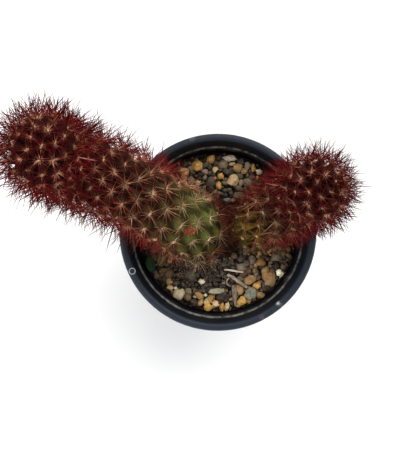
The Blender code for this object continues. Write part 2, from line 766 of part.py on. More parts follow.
def build():
    clear_scene()
    plant = new_collection("potted_ladyfinger_cactus")
    cutters = new_collection("cutters", hidden=True)
    stones = new_collection("stones", hidden=True)
    materials = {
        "pot": new_material("pot_plastic", (0.012, 0.014, 0.022), 0.38),
        "soil": new_material("gravel_soil", (0.16, 0.12, 0.085), 0.9),
        "stem": new_material("cactus_stem", (0.16, 0.035, 0.028), 0.6),
        "twig": new_material("dry_twig", (0.42, 0.33, 0.22), 0.8),
        "pale_twig": new_material("pale_twig", (0.68, 0.62, 0.5), 0.8),
        "grey_bark": new_material("grey_bark", (0.2, 0.2, 0.16), 0.85),
        "grey_chip": new_material("grey_chip", (0.3, 0.3, 0.27), 0.85),
        "leaf": new_material("green_leaf", (0.03, 0.11, 0.04), 0.5),
        "olive": new_material("olive_leaf", (0.14, 0.13, 0.05), 0.6),
    }
    build_pot(plant, cutters, materials["pot"])
    soil = build_soil(plant, stones, cutters, materials["soil"])
    shape = (LEFT_LINE, LEFT_RADII, LEFT_SPACING, LEFT_STUB)
    left, tops, normals = build_stem("stem_left", *shape, 3, plant, materials["stem"], True)
    add_bud(left, tops, normals, cutters)
    shape = (RIGHT_LINE, RIGHT_RADII, RIGHT_SPACING, RIGHT_STUB)
    build_stem("stem_right", *shape, 5, plant, materials["stem"], False)
    build_bits(plant, soil, materials)


build()
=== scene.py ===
"""Looks of the potted ladyfinger cactus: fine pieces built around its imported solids."""

from math import acos, comb, cos, exp, hypot, pi, radians, sin, sqrt, tan, tau
from types import SimpleNamespace

import bmesh
import bpy
import numpy as np
from mathutils import Euler, Matrix, Vector, noise
from mathutils.bvhtree import BVHTree
from mathutils.geometry import delaunay_2d_cdt


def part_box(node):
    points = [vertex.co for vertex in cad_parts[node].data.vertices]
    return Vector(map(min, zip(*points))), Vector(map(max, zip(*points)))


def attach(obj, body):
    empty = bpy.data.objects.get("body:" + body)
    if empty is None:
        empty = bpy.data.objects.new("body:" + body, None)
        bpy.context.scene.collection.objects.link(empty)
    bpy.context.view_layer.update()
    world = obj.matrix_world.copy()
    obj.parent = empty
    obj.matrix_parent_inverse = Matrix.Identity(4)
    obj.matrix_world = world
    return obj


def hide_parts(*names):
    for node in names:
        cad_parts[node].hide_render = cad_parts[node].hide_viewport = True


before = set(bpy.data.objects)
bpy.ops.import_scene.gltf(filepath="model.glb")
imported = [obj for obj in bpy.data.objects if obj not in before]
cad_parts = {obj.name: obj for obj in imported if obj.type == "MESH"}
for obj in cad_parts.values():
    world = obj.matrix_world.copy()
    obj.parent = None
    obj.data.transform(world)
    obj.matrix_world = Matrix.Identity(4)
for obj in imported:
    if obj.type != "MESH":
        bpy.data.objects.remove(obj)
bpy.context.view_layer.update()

# Lengths are in millimetres, and MM turns them into metres.
MM = 0.001
# A length in metres times this goes from 0 to 1 over 100 mm, as a ramp needs.
RAMP_SPAN = 10.0

# Camera: straight above a point a little left of the pot's middle
CAMERA_PLACE = (-8.17, 1.72, 460.0)
SENSOR_WIDTH = 36.0
LENS = 75.46

# Stage: half the floor's side, in metres, and the strength of the sky
FLOOR_HALF = 3.0
SKY_STRENGTH = 1.24

# Pot
POT_HEIGHT = 80.0
POT_STEPS = 144
RIM_RADIUS = 45.0
RIM_SKIRT = 8.5
STEP_RADIUS = 38.7
STEP_HEIGHT = 73.9
FLOOR_THICKNESS = 1.4
FLOOR_RADIUS = 31.6
BASE_RADIUS = 32.6
WALL_FOOT = 2.6
DRAIN_HOLES = 6
DRAIN_RADIUS = 3.0
DRAIN_CIRCLE = 23.0
DRAIN_DEPTH = 6.0
# Moulding mark on the rim: place, radius and thickness of its ring, and its points each way
MARK_PLACE = (-38.9, -17.6, 79.84)
MARK_RADIUS = 1.35
MARK_THICK = 0.2
MARK_TURNS = 40
MARK_SIDES = 10
# Pale specks on the rim: place, radius and colour
SPECKS = (
    ((27.2, -32.2, 79.9), 0.85, (0.50, 0.50, 0.48)),
    ((28.6, -33.0, 79.8), 0.7, (0.12, 0.12, 0.12)),
    ((19.9, -38.6, 79.8), 1.2, (0.07, 0.07, 0.08)),
    ((-11.8, 42.6, 79.9), 1.3, (0.09, 0.09, 0.10)),
)

# Stems: control points of the centreline; the body's radius and the areoles' spacing, each at foot
# and tip; radius of the buried stub; seed of the random draws; side of the other stem; scale and
# longest of the spines; redness at the foot, and painted shade as redness where it faces the front; shade of
# old and young
# spines; whether the less red ones are golden
LEFT = SimpleNamespace(
    side="left",
    line=((-11.0, 0.5, 68.1), (-13.9, 5.4, 104.1), (-50.9, 27.8, 104.5), (-64.4, 27.2, 119.1),
          (-69.2, 31.7, 134.0)),
    radii=(14.8, 14.0),
    spacings=(9.2, 5.6),
    stub=12.6,
    seed=30,
    facing=1.0,
    reach=1.04,
    longest=14.2,
    redness=0.15,
    front_shade_redness=0.08,
    shades=(1.0, 0.0),
    golden=False,
)
RIGHT = SimpleNamespace(
    side="right",
    line=((16.2, 1.9, 68.1), (17.9, 6.8, 80.4), (27.2, 8.1, 98.0), (33.6, 14.5, 95.5),
          (39.8, 18.0, 110.0)),
    radii=(10.2, 13.2),
    spacings=(8.4, 5.3),
    stub=7.6,
    seed=50,
    facing=-1.0,
    reach=0.96,
    longest=12.6,
    redness=0.06,
    front_shade_redness=0.0,
    shades=(0.66, 0.14),
    golden=True,
)
FEET = tuple((*stem.line[0][:2], stem.radii[0]) for stem in (LEFT, RIGHT))
SPLIT_X = 4.9
FOOT_HEIGHT = 68.1
STUB_BOTTOM = 57.0
FOOT_SIDES = 20
LOWEST_AREOLE = 69.2
GOLDEN_TURN = radians(137.508)
# Tubercles: depth of the valleys high up and at the foot, the shoulder and the small crown on top
TUBERCLE_DEPTH = 2.5
FOOT_DEPTH = 1.5
SHOULDER_REACH = 0.62
SHOULDER_DROP = 0.85
CROWN_RADIUS = 1.05
CROWN_RISE = 0.12
GREEN_PATCH = ((-9.5, 8.0, 91.0), 12.5)
OLIVE_PATCH = ((11.0, 3.5, 84.0), 12.0)
PATCH_SOFT = 0.65

# How often a spine that touches something is raised a little, and then cut shorter
RAISES = 8
CUTS = 14
# Radial and central spines: the draws of their number, rise in degrees, thickness and length
RADIAL_COUNTS = (18, 23)
RADIAL_RISES = (6.0, 44.0)
RADIAL_THICK = (0.09, 0.145)
RADIAL_LENGTHS = (4.0, 6.0)
GROWN_LENGTHS = (2.2, 4.6)
CENTRAL_COUNTS = (1, 3)
CENTRAL_RISES = (40.0, 87.0)
CENTRAL_THICK = (0.13, 0.26)
CENTRAL_SHORTEST = 8.8
# Spines: the lowest they reach, an areole's half length and fan, rings along a spine and its width
SPINE_CLEAR_Z = 69.4
AREOLE_HALF = 0.95
AREOLE_FAN = 0.75
SPINE_SHARES = np.array((0.0, 0.11, 0.27, 0.72))
SPINE_WIDTHS = np.array((1.0, 0.95, 0.90, 0.70))
DRY_TUFT = (-1.9, -13.9, 71.2)
# Colour of a spine from its root to its point: old, grown and young ones
SPINE_COLOURS = np.array((
    ((0.76, 0.62, 0.40), (0.68, 0.54, 0.33), (0.58, 0.43, 0.24), (0.46, 0.30, 0.15), (0.28, 0.13, 0.07)),
    ((0.74, 0.42, 0.26), (0.56, 0.24, 0.135), (0.37, 0.095, 0.055), (0.24, 0.034, 0.020),
     (0.08, 0.008, 0.006)),
    ((0.86, 0.50, 0.31), (0.52, 0.145, 0.075), (0.190, 0.012, 0.012), (0.120, 0.005, 0.007),
     (0.038, 0.003, 0.003)),
))
GOLDEN = (0.88, 0.68, 0.36)
CENTRAL_SHADE = np.array((0.9, 0.75, 0.50, 0.38, 0.30))[:, None]
GLINT = (0.62, 0.30, 0.24)
BURST = ((0.62, 0.38, 0.25), (0.40, 0.20, 0.12), (0.09, 0.025, 0.017))
WOOL_OLD = np.array((0.68, 0.50, 0.32))
WOOL_YOUNG = np.array((0.74, 0.40, 0.22))

# The small offset on the long stem's foot
BUD_SEED = 5
BUD_SPOT = (-12.9, 0.8)
BUD_SPINES = 330
BUD_TONE = (0.30, 0.075, 0.030)
BUD_TONES = ((0.56, 0.13, 0.050), (0.64, 0.33, 0.18), (0.24, 0.042, 0.020), (0.50, 0.11, 0.042))

# Soil and gravel, and the fork between the stems, which is kept free of loose stones
SEAT_GAP = 0.3
SOIL_LEVEL = 66.3
SOIL_AT_STEMS = 67.6
SOIL_RINGS = 74
SOIL_TURNS = 210
SOLID_FEET = ((-11.6, 1.2, 14.8), (16.2, 2.9, 9.6))
SHARED_STONES = 54
SHARED_SEED = 11
GRAVEL_SEED = 21
SMALL_STONES = 350
GRAINS = 2000
DARK_GRAINS = 500
GRAVEL_RADIUS = 37.0
MOST_TRIES = 30000
STONE_FLATS = 8
STONE_SCALE = 0.53
# Least distance of two stones, as a share of both lengths, and how high they stand by a foot and elsewhere
LARGE_APART = 0.42
SMALL_APART = 0.34
LARGE_TOPS = (67.7, 69.6)
SMALL_TOPS = (67.9, 70.0)
FOOT_MARGIN = 4.0
DARK_SINK = 1.1
DARK_LONGEST = 2.8
SPOT_REACH = 2.3
SPOT_LEAST = 2.0
DARK_SOIL = ((-21.0, 9.0), (-27.0, -12.0))
FORK = ((-2.5, 10.5), (-11.0, 15.0))
# Stones that show: x, y, length, width, turn in degrees and tone
STONES = (
    (24.2, -21.8, 8.0, 7.2, 70, "tan"),
    (29.2, -19.3, 3.7, 3.6, 0, "chalk"),
    (15.5, -22.4, 6.1, 4.0, 20, "tan"),
    (11.4, -32.3, 5.6, 3.7, 25, "gold"),
    (-5.0, -32.7, 3.7, 2.8, 80, "cream"),
    (-2.9, -31.0, 4.0, 3.3, 60, "gold"),
    (-1.2, -33.6, 4.2, 3.7, 10, "cream"),
    (-4.4, -35.0, 3.9, 3.6, 0, "gold"),
    (2.2, -35.0, 4.2, 2.2, 85, "gold"),
    (4.4, -34.8, 4.2, 2.2, 80, "cream"),
    (-17.8, -28.9, 5.6, 5.2, 30, "ivory"),
    (27.4, -11.2, 6.6, 6.0, 40, "taupe"),
    (14.6, -18.2, 3.8, 3.4, 0, "brown"),
    (-7.4, -23.1, 3.1, 2.4, 20, "white"),
    (-9.6, 31.0, 5.5, 5.3, 0, "gold"),
    (-3.1, 34.2, 4.5, 3.6, 30, "gold"),
    (5.8, 34.7, 6.4, 3.0, 0, "chalk"),
    (2.6, 31.9, 5.0, 4.8, 50, "mauve"),
    (-0.9, 29.6, 3.4, 3.0, 70, "cream"),
    (-5.7, 28.4, 4.0, 2.8, 160, "mauve"),
    (9.5, 30.2, 4.4, 4.0, 30, "tan"),
    (14.1, 31.4, 3.8, 3.0, 80, "pale"),
    (16.8, 30.2, 3.8, 2.5, 95, "gold"),
    (19.6, 28.4, 2.9, 2.7, 0, "chalk"),
    (0.7, 21.9, 4.8, 3.1, 95, "gold"),
    (7.2, 24.2, 5.6, 5.0, 60, "cream"),
)
# Places where a smaller stone of the given tone shows, in the same form
SPOTS = (
    (1.6, 26.4, 3.2, 2.8, 40, "gold"),
    (6.9, 32.0, 3.0, 1.8, 10, "cream"),
    (12.6, 28.5, 3.2, 2.9, 0, "tan"),
    (-6.0, 25.3, 2.6, 2.1, 60, "grey"),
    (-3.0, 23.4, 5.0, 4.4, 80, "dusk"),
    (-5.8, 31.4, 3.6, 2.6, 20, "dusk"),
    (11.0, 22.8, 3.6, 2.3, 80, "grey"),
    (13.4, 25.1, 3.0, 2.6, 30, "grey"),
    (16.1, 25.8, 3.0, 2.4, 0, "brown"),
    (4.4, 28.4, 3.6, 3.0, 0, "dusk"),
    (4.6, 15.0, 4.0, 2.3, 0, "slate"),
    (-22.2, -26.1, 3.0, 2.3, 0, "cream"),
    (-19.6, -26.3, 1.6, 1.4, 0, "white"),
    (-10.7, -30.3, 1.7, 1.4, 0, "white"),
    (-5.6, -29.4, 1.7, 1.4, 0, "white"),
    (-14.0, -30.5, 4.0, 3.4, 0, "brown"),
    (-11.0, -33.0, 3.6, 3.0, 0, "plum"),
    (20.1, -13.9, 4.4, 4.0, 0, "rust"),
    (22.4, -18.2, 4.6, 3.5, 60, "tan"),
    (18.5, -25.2, 4.0, 3.3, 40, "gold"),
    (19.9, -29.4, 4.2, 3.2, 0, "tan"),
    (13.9, -14.0, 3.2, 2.4, 70, "grey"),
    (9.6, -15.2, 2.6, 2.2, 20, "grey"),
    (10.4, -22.0, 3.2, 2.6, 0, "slate"),
    (-9.4, -14.9, 2.4, 2.0, 0, "dusk"),
    (-19.4, -19.6, 4.6, 2.6, 65, "brown"),
    (4.6, -30.0, 3.4, 3.0, 0, "plum"),
    (0.4, -30.4, 3.6, 2.8, 0, "plum"),
)
TONES = {
    "gold": (0.56, 0.315, 0.090),
    "tan": (0.40, 0.245, 0.100),
    "cream": (0.64, 0.475, 0.245),
    "white": (0.66, 0.60, 0.48),
    "ivory": (0.68, 0.59, 0.38),
    "chalk": (0.95, 0.86, 0.68),
    "pale": (0.40, 0.35, 0.26),
    "mauve": (0.235, 0.165, 0.115),
    "rust": (0.26, 0.13, 0.042),
    "brown": (0.130, 0.074, 0.034),
    "taupe": (0.130, 0.095, 0.056),
    "grey": (0.205, 0.172, 0.118),
    "slate": (0.135, 0.130, 0.112),
    "dusk": (0.080, 0.060, 0.042),
    "dark": (0.028, 0.021, 0.015),
    "plum": (0.052, 0.034, 0.025),
}
GRIT_TONES = ("dark", "brown", "plum", "taupe", "dark", "tan", "dark", "grey")
DARK_TONES = ("dark", "plum", "dark", "dusk", "plum", "dark")
MIX_TONES = ("dark", "brown", "plum", "taupe", "dark", "dusk", "dark", "grey")
FILL_TONES = ("brown", "taupe", "dark", "plum", "dark", "dusk", "grey", "brown", "taupe", "tan", "dark")

# Bark and leaves: size of the voxels and thickness
BARK_VOXEL = 0.13
LEAF_THICKNESS = 0.4


# Small helpers
def unit(vector):
    return vector / np.linalg.norm(vector)


def units(rows):
    return rows / np.linalg.norm(rows, axis=1)[:, None]


def at_turn(away, turn):
    """The flat place at a distance and a turn from the middle."""
    return away * cos(turn), away * sin(turn)


def ease(value, start, span):
    """Nothing up to start, and one from a span beyond it."""
    return np.clip((value - start) / span, 0.0, 1.0)


def pick(draw, options):
    return options[int(draw.integers(len(options)))]


def belt(first, second, count):
    """Faces between two closed rings of points, which start at the given numbers."""
    return [(first + k, second + k, second + (k + 1) % count, first + (k + 1) % count) for k in range(count)]


def lumps(points, scale, seed):
    """Smooth noise at each of the points."""
    return np.array([noise.noise(Vector(p) * scale + Vector((seed, 0.0, 0.0))) for p in points])


def bezier(control, samples):
    last = len(control) - 1
    t = np.linspace(0.0, 1.0, samples)[:, None]
    return sum(comb(last, k) * (1 - t) ** (last - k) * t**k * np.array(p) for k, p in enumerate(control))


def add_object(name, data):
    thing = bpy.data.objects.new(name, data)
    bpy.context.scene.collection.objects.link(thing)
    return thing


def add_piece(name, points, faces, material, colours=None, **values):
    """A mesh object from points in millimetres, with colours and values kept on its points."""
    mesh = bpy.data.meshes.new(name)
    mesh.from_pydata((np.asarray(points, float) * MM).tolist(), [], [list(map(int, f)) for f in faces])
    mesh.update()
    if colours is not None:
        padded = np.ones((len(points), 4), np.float32)
        padded[:, :3] = np.clip(colours, 0.0, 1.0)
        mesh.color_attributes.new("tint", "FLOAT_COLOR", "POINT").data.foreach_set("color", padded.ravel())
    for key, numbers in values.items():
        layer = mesh.attributes.new(key, "FLOAT", "POINT")
        layer.data.foreach_set("value", np.asarray(numbers, np.float32))
    mesh.shade_smooth()
    mesh.materials.append(MATERIALS[material])
    return add_object(name, mesh)


def modify(thing, kind, **settings):
    modifier = thing.modifiers.new(kind.lower(), kind)
    for key, value in settings.items():
        setattr(modifier, key, value)


def apply_modifiers(thing):
    bpy.context.view_layer.update()
    graph = bpy.context.evaluated_depsgraph_get()
    mesh = bpy.data.meshes.new_from_object(thing.evaluated_get(graph))
    thing.modifiers.clear()
    thing.data = mesh


def face_outwards(thing):
    bm = bmesh.new()
    bm.from_mesh(thing.data)
    bmesh.ops.recalc_face_normals(bm, faces=bm.faces)
    bm.to_mesh(thing.data)
    bm.free()


def declare(piece, slot, *nodes):
    """The piece rides on the pot's body, and the solids that it stands for are hidden; the slot, its finish,
    is not used.
    """
    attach(piece, "root")
    if nodes:
        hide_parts(*nodes)


def add_shapes(name, slot, material, shapes):
    """One piece made of many shapes, each of them points, faces and colours."""
    points, faces, colours = [], [], []
    count = 0
    for shape_points, shape_faces, colour in shapes:
        points.append(shape_points)
        faces.append(shape_faces + count)
        colours.append(np.broadcast_to(colour, shape_points.shape))
        count += len(shape_points)
    piece = add_piece(name, np.concatenate(points), np.concatenate(faces), material, np.concatenate(colours))
    declare(piece, slot)


def ball(subdivisions):
    """Points and faces of a round template of unit radius."""
    bm = bmesh.new()
    bmesh.ops.create_icosphere(bm, subdivisions=subdivisions, radius=1.0)
    points = np.array([vertex.co[:] for vertex in bm.verts])
    faces = np.array([[vertex.index for vertex in face.verts] for face in bm.faces])
    bm.free()
    return points, faces


# Materials
class Nodes:
    """The node tree of a material or a world, built up from a few short calls."""

    def __init__(self, owner):
        owner.use_nodes = True
        self.tree = owner.node_tree

    def node(self, kind, inputs=(), **settings):
        made = self.tree.nodes.new("ShaderNode" + kind)
        for key, value in settings.items():
            setattr(made, key, value)
        for key, given in dict(inputs).items():
            self.give(made.inputs[key], given)
        return made

    def give(self, socket, given):
        """An input gets a number, a colour or another node's output."""
        if isinstance(given, bpy.types.NodeSocket):
            self.tree.links.new(given, socket)
        else:
            socket.default_value = (*given, 1.0) if socket.type == "RGBA" else given

    def ramp(self, factor, *stops):
        """A colour or a grey for each of the stops' positions."""
        made = self.node("ValToRGB", {"Fac": factor})
        band = made.color_ramp
        while len(band.elements) < len(stops):
            band.elements.new(0.5)
        for element, (position, colour) in zip(band.elements, stops):
            element.position = position
            element.color = (*(colour if isinstance(colour, tuple) else (colour,) * 3), 1.0)
        return made.outputs["Color"]


class Shader(Nodes):
    """A material with noise, masks and mixes in the object's own coordinates."""

    def __init__(self, name, roughness, specular=0.5):
        self.material = bpy.data.materials.new(name)
        super().__init__(self.material)
        self.base = self.tree.nodes["Principled BSDF"]
        self.base.inputs["Roughness"].default_value = roughness
        self.base.inputs["Specular IOR Level"].default_value = specular
        self.place = self.node("TexCoord").outputs["Object"]

    def value(self, key, output="Fac"):
        return self.node("Attribute", attribute_name=key).outputs[output]

    def noise(self, size, detail=4.0, rough=0.55, place=None):
        """Noise whose features are about size millimetres across."""
        inputs = {"Scale": 1.0 / (size * MM), "Detail": detail, "Roughness": rough}
        return self.node("TexNoise", {**inputs, "Vector": place or self.place}).outputs["Fac"]

    def stretched(self, scale, *noise):
        """Noise whose features are drawn out by a different scale along each axis."""
        mapping = self.node("Mapping", {"Scale": scale, "Vector": self.place})
        return self.noise(*noise, place=mapping.outputs["Vector"])

    def mix(self, factor, first, second, mode="MIX"):
        inputs = {0: factor, 6: first, 7: second}
        return self.node("Mix", inputs, data_type="RGBA", blend_type=mode).outputs[2]

    def times(self, first, second):
        return self.mix(1.0, first, second, "MULTIPLY")

    def maths(self, operation, first, second, clamp=False):
        return self.node("Math", {0: first, 1: second}, operation=operation, use_clamp=clamp).outputs[0]

    def product(self, first, second):
        return self.maths("MULTIPLY", first, second)

    def near(self, centre, radius, soft):
        """One inside a small ball round a place on the surface, and nothing outside it."""
        inputs = {0: self.place, 1: [c * MM for c in centre]}
        away = self.node("VectorMath", inputs, operation="DISTANCE").outputs["Value"]
        share = self.product(away, 0.5 / (radius * MM))
        return self.ramp(share, (0.5 * (1.0 - soft), 1.0), (0.5 * (1.0 + soft), 0.0))

    def gloss(self, size, low, high):
        """Roughness that wanders between two values."""
        return self.ramp(self.noise(size), (0.3, low), (0.7, high))

    def dressed(self, colour, gloss=None, relief=None):
        """The material with its colour, roughness and bump: height, strength and depth in millimetres."""
        self.give(self.base.inputs["Base Color"], colour)
        if gloss:
            self.give(self.base.inputs["Roughness"], gloss)
        if relief:
            height, strength, depth = relief
            bump = self.node("Bump", {"Height": height, "Strength": strength, "Distance": depth * MM})
            self.give(self.base.inputs["Normal"], bump.outputs["Normal"])
        return self.material


def pot_plastic():
    """Black plastic with a blue-grey lip, painted lighter on top as sheen and wear, and a broken pale line
    painted on the step inside as its highlight.
    """
    shader = Shader("pot_plastic", 0.42, 0.16)
    flat = shader.node("VectorMath", {0: shader.place, 1: (1.0, 1.0, 0.0)}, operation="MULTIPLY")
    away = shader.node("VectorMath", {0: flat.outputs["Vector"]}, operation="LENGTH").outputs["Value"]
    height = shader.node("SeparateXYZ", {"Vector": shader.place}).outputs["Z"]
    away, height = shader.product(away, RAMP_SPAN), shader.product(height, RAMP_SPAN)
    colour = shader.mix(shader.noise(9.0), (0.0035, 0.0045, 0.008), (0.008, 0.010, 0.016))
    # Painted sheen and wear: the top of the lip is painted a lighter, mottled blue-grey. This stands in for
    # the sky's reflection on it as well as for wear.
    lip = shader.ramp(height, (0.783, 0.0), (0.797, 1.0))
    worn_sheen = shader.mix(shader.noise(2.5, 5.0, 0.65), (0.011, 0.015, 0.023), (0.027, 0.034, 0.047))
    colour = shader.mix(lip, colour, worn_sheen)
    dust = shader.ramp(shader.noise(1.1, 6.0, 0.7), (0.60, 0.0), (0.80, 0.3))
    colour = shader.mix(dust, colour, (0.055, 0.060, 0.070))
    # Painted highlight: a thin, broken, nearly white line round the edge of the step inside, standing in for
    # the glint of that edge.
    line = shader.ramp(height, (0.7380, 0.0), (0.7396, 1.0), (0.7408, 1.0), (0.7426, 0.0))
    inside = shader.ramp(away, (0.395, 1.0), (0.402, 0.0))
    broken = shader.ramp(shader.noise(3.5, 5.0, 0.75), (0.40, 0.04), (0.64, 1.0))
    step_highlight = shader.product(shader.product(line, inside), broken)
    colour = shader.mix(step_highlight, colour, (0.95, 0.93, 0.78))
    patchy = shader.ramp(shader.noise(0.6, 3.0), (0.40, 0.15), (0.6, 1.0))
    for centre, radius, tone in SPECKS:
        colour = shader.mix(shader.product(shader.near(centre, radius, 0.55), patchy), colour, tone)
    scratches = shader.stretched((1.0, 1.0, 0.08), 0.5, 2.0)
    gloss = shader.ramp(scratches, (0.35, 0.36), (0.7, 0.54))
    return shader.dressed(colour, gloss, (shader.noise(0.6, 3.0), 0.08, 0.05))


# Painted highlight: the moulding mark's ring is painted light grey, standing in for the light that its edges
# catch on the black rim.
def mark_highlight_plastic():
    shader = Shader("mark_highlight_plastic", 0.35)
    colour = shader.mix(shader.noise(0.7, 3.0), (0.26, 0.28, 0.31), (0.52, 0.54, 0.58))
    return shader.dressed(colour, relief=(shader.noise(0.3), 0.1, 0.05))


def soil_dark():
    shader = Shader("soil_dark", 0.95, 0.0)
    clods = (0.3, (0.005, 0.004, 0.003)), (0.52, (0.020, 0.014, 0.010)), (0.74, (0.070, 0.048, 0.032))
    colour = shader.ramp(shader.noise(2.2, 8.0, 0.7), *clods)
    return shader.dressed(colour, relief=(shader.noise(0.5, 6.0, 0.7), 0.6, 0.3))


def pebble_stone():
    """Weathered pebble: pale and rusty patches, dark specks and a thin pale vein here and there."""
    shader = Shader("pebble_stone", 0.55, 0.28)
    mottled = (0.30, 0.50), (0.48, 0.92), (0.60, 1.12), (0.74, 1.42)
    mottled = shader.ramp(shader.noise(1.3, 6.0, 0.68), *mottled)
    colour = shader.times(shader.value("tint", "Color"), mottled)
    patches = shader.noise(2.3, 3.0, 0.6)
    rusty = shader.times(colour, (1.12, 0.80, 0.52))
    colour = shader.mix(shader.ramp(patches, (0.52, 0.0), (0.64, 0.6)), colour, rusty)
    chalky = shader.times(colour, (1.30, 1.27, 1.16))
    colour = shader.mix(shader.ramp(patches, (0.34, 0.8), (0.45, 0.0)), colour, chalky)
    cells = shader.node("TexVoronoi", {"Scale": 1.0 / (0.55 * MM), "Vector": shader.place})
    specks = shader.ramp(cells.outputs["Distance"], (0.0, 0.6), (0.22, 0.0))
    colour = shader.mix(specks, colour, (0.035, 0.028, 0.022))
    veins = shader.ramp(shader.noise(3.2, 2.0), (0.485, 0.0), (0.5, 0.25), (0.515, 0.0))
    colour = shader.mix(veins, colour, (0.50, 0.42, 0.30))
    return shader.dressed(colour, shader.gloss(0.9, 0.36, 0.70), (shader.noise(0.5, 5.0, 0.6), 0.45, 0.16))


def stem_flesh():
    """Olive at the foot with green patches above it, nearly black red at the tip, and painted shade in the
    valleys between the tubercles.
    """
    shader = Shader("stem_flesh", 0.5, 0.02)
    wander = shader.product(shader.maths("SUBTRACT", shader.noise(9.0, 3.0), 0.5), 0.22)
    placed = shader.maths("ADD", shader.value("along"), wander, clamp=True)
    crown = shader.ramp(
        placed,
        (0.0, (0.045, 0.036, 0.011)),
        (0.12, (0.072, 0.062, 0.015)),
        (0.28, (0.062, 0.047, 0.015)),
        (0.44, (0.046, 0.030, 0.013)),
        (0.70, (0.038, 0.014, 0.011)),
        (1.0, (0.040, 0.013, 0.012)),
    )
    blotch = shader.ramp(shader.noise(5.0, 3.0), (0.30, 0.55), (0.62, 1.0))
    for patch, tone in ((GREEN_PATCH, (0.150, 0.185, 0.045)), (OLIVE_PATCH, (0.140, 0.088, 0.010))):
        crown = shader.mix(shader.product(shader.near(*patch, PATCH_SOFT), blotch), crown, tone)
    # Painted shade: the valleys between the tubercles, where raised is low, are painted far darker than the
    # tubercles' tops.
    valley_shade = shader.ramp(
        placed,
        (0.0, (0.020, 0.014, 0.005)),
        (0.25, (0.018, 0.010, 0.004)),
        (0.55, (0.007, 0.002, 0.002)),
        (1.0, (0.004, 0.001, 0.001)),
    )
    raised = shader.ramp(shader.value("raised"), (0.12, 0.0), (0.75, 1.0))
    green = shader.product(shader.near(*GREEN_PATCH, PATCH_SOFT), 0.35)
    colour = shader.mix(green, shader.mix(raised, valley_shade, crown), (0.085, 0.100, 0.026))
    freckles = shader.ramp(shader.noise(0.55, 4.0, 0.7), (0.42, 0.78), (0.62, 1.25))
    colour = shader.times(colour, freckles)
    return shader.dressed(colour, shader.gloss(1.2, 0.40, 0.62), (shader.noise(0.35), 0.25, 0.08))


def spine_horn():
    shader = Shader("spine_horn", 0.45, 0.02)
    bands = shader.ramp(shader.noise(1.4, 4.0, 0.6), (0.35, 0.8), (0.65, 1.2))
    return shader.dressed(shader.times(shader.value("tint", "Color"), bands), shader.gloss(0.8, 0.34, 0.55))


def areole_wool():
    shader = Shader("areole_wool", 0.95, 0.0)
    fluff = shader.ramp(shader.noise(0.25, 5.0, 0.7), (0.3, 0.62), (0.7, 1.15))
    colour = shader.times(shader.value("tint", "Color"), fluff)
    return shader.dressed(colour, relief=(shader.noise(0.18, 4.0, 0.7), 0.7, 0.12))


def dry_wood(name, dark, light, grain):
    """Grain that runs along the piece, as the stretch of its noise says."""
    shader = Shader(name, 0.8)
    fibres = shader.stretched(grain, 0.9, 6.0, 0.65)
    shade = shader.ramp(shader.noise(2.4, 3.0), (0.3, 0.72), (0.7, 1.15))
    colour = shader.times(shader.ramp(fibres, (0.32, dark), (0.68, light)), shade)
    return shader.dressed(colour, relief=(fibres, 0.5, 0.15))


def leaf_skin(name, dark, light, vein):
    shader = Shader(name, 0.5, 0.12)
    colour = shader.mix(shader.value("vein"), shader.mix(shader.noise(1.6, 5.0, 0.65), dark, light), vein)
    return shader.dressed(colour, shader.gloss(0.8, 0.42, 0.66), (shader.noise(0.4), 0.3, 0.1))


def pale_floor():
    shader = Shader("pale_floor", 0.9)
    return shader.dressed(shader.mix(shader.noise(60.0, 2.0), (0.93, 0.93, 0.935), (0.96, 0.96, 0.96)))


# Pot
def inner_radius(height):
    share = (height - WALL_FOOT) / (STEP_HEIGHT - WALL_FOOT)
    return FLOOR_RADIUS + (STEP_RADIUS - FLOOR_RADIUS) * share


def softened(profile, steps=4):
    """The profile with each inner corner turned into a small arc of its own radius."""
    points = []
    for k, (radius, height, soft) in enumerate(profile):
        here = np.array((radius, height))
        if not soft:
            points.append(tuple(here))
            continue
        ends = []
        for neighbour in (profile[k - 1], profile[k + 1]):
            away = np.array(neighbour[:2]) - here
            ends.append(here + unit(away) * min(soft, 0.45 * np.linalg.norm(away)))
        for t in (step / steps for step in range(steps + 1)):
            points.append(tuple((1 - t) ** 2 * ends[0] + 2 * (1 - t) * t * here + t * t * ends[1]))
    return points


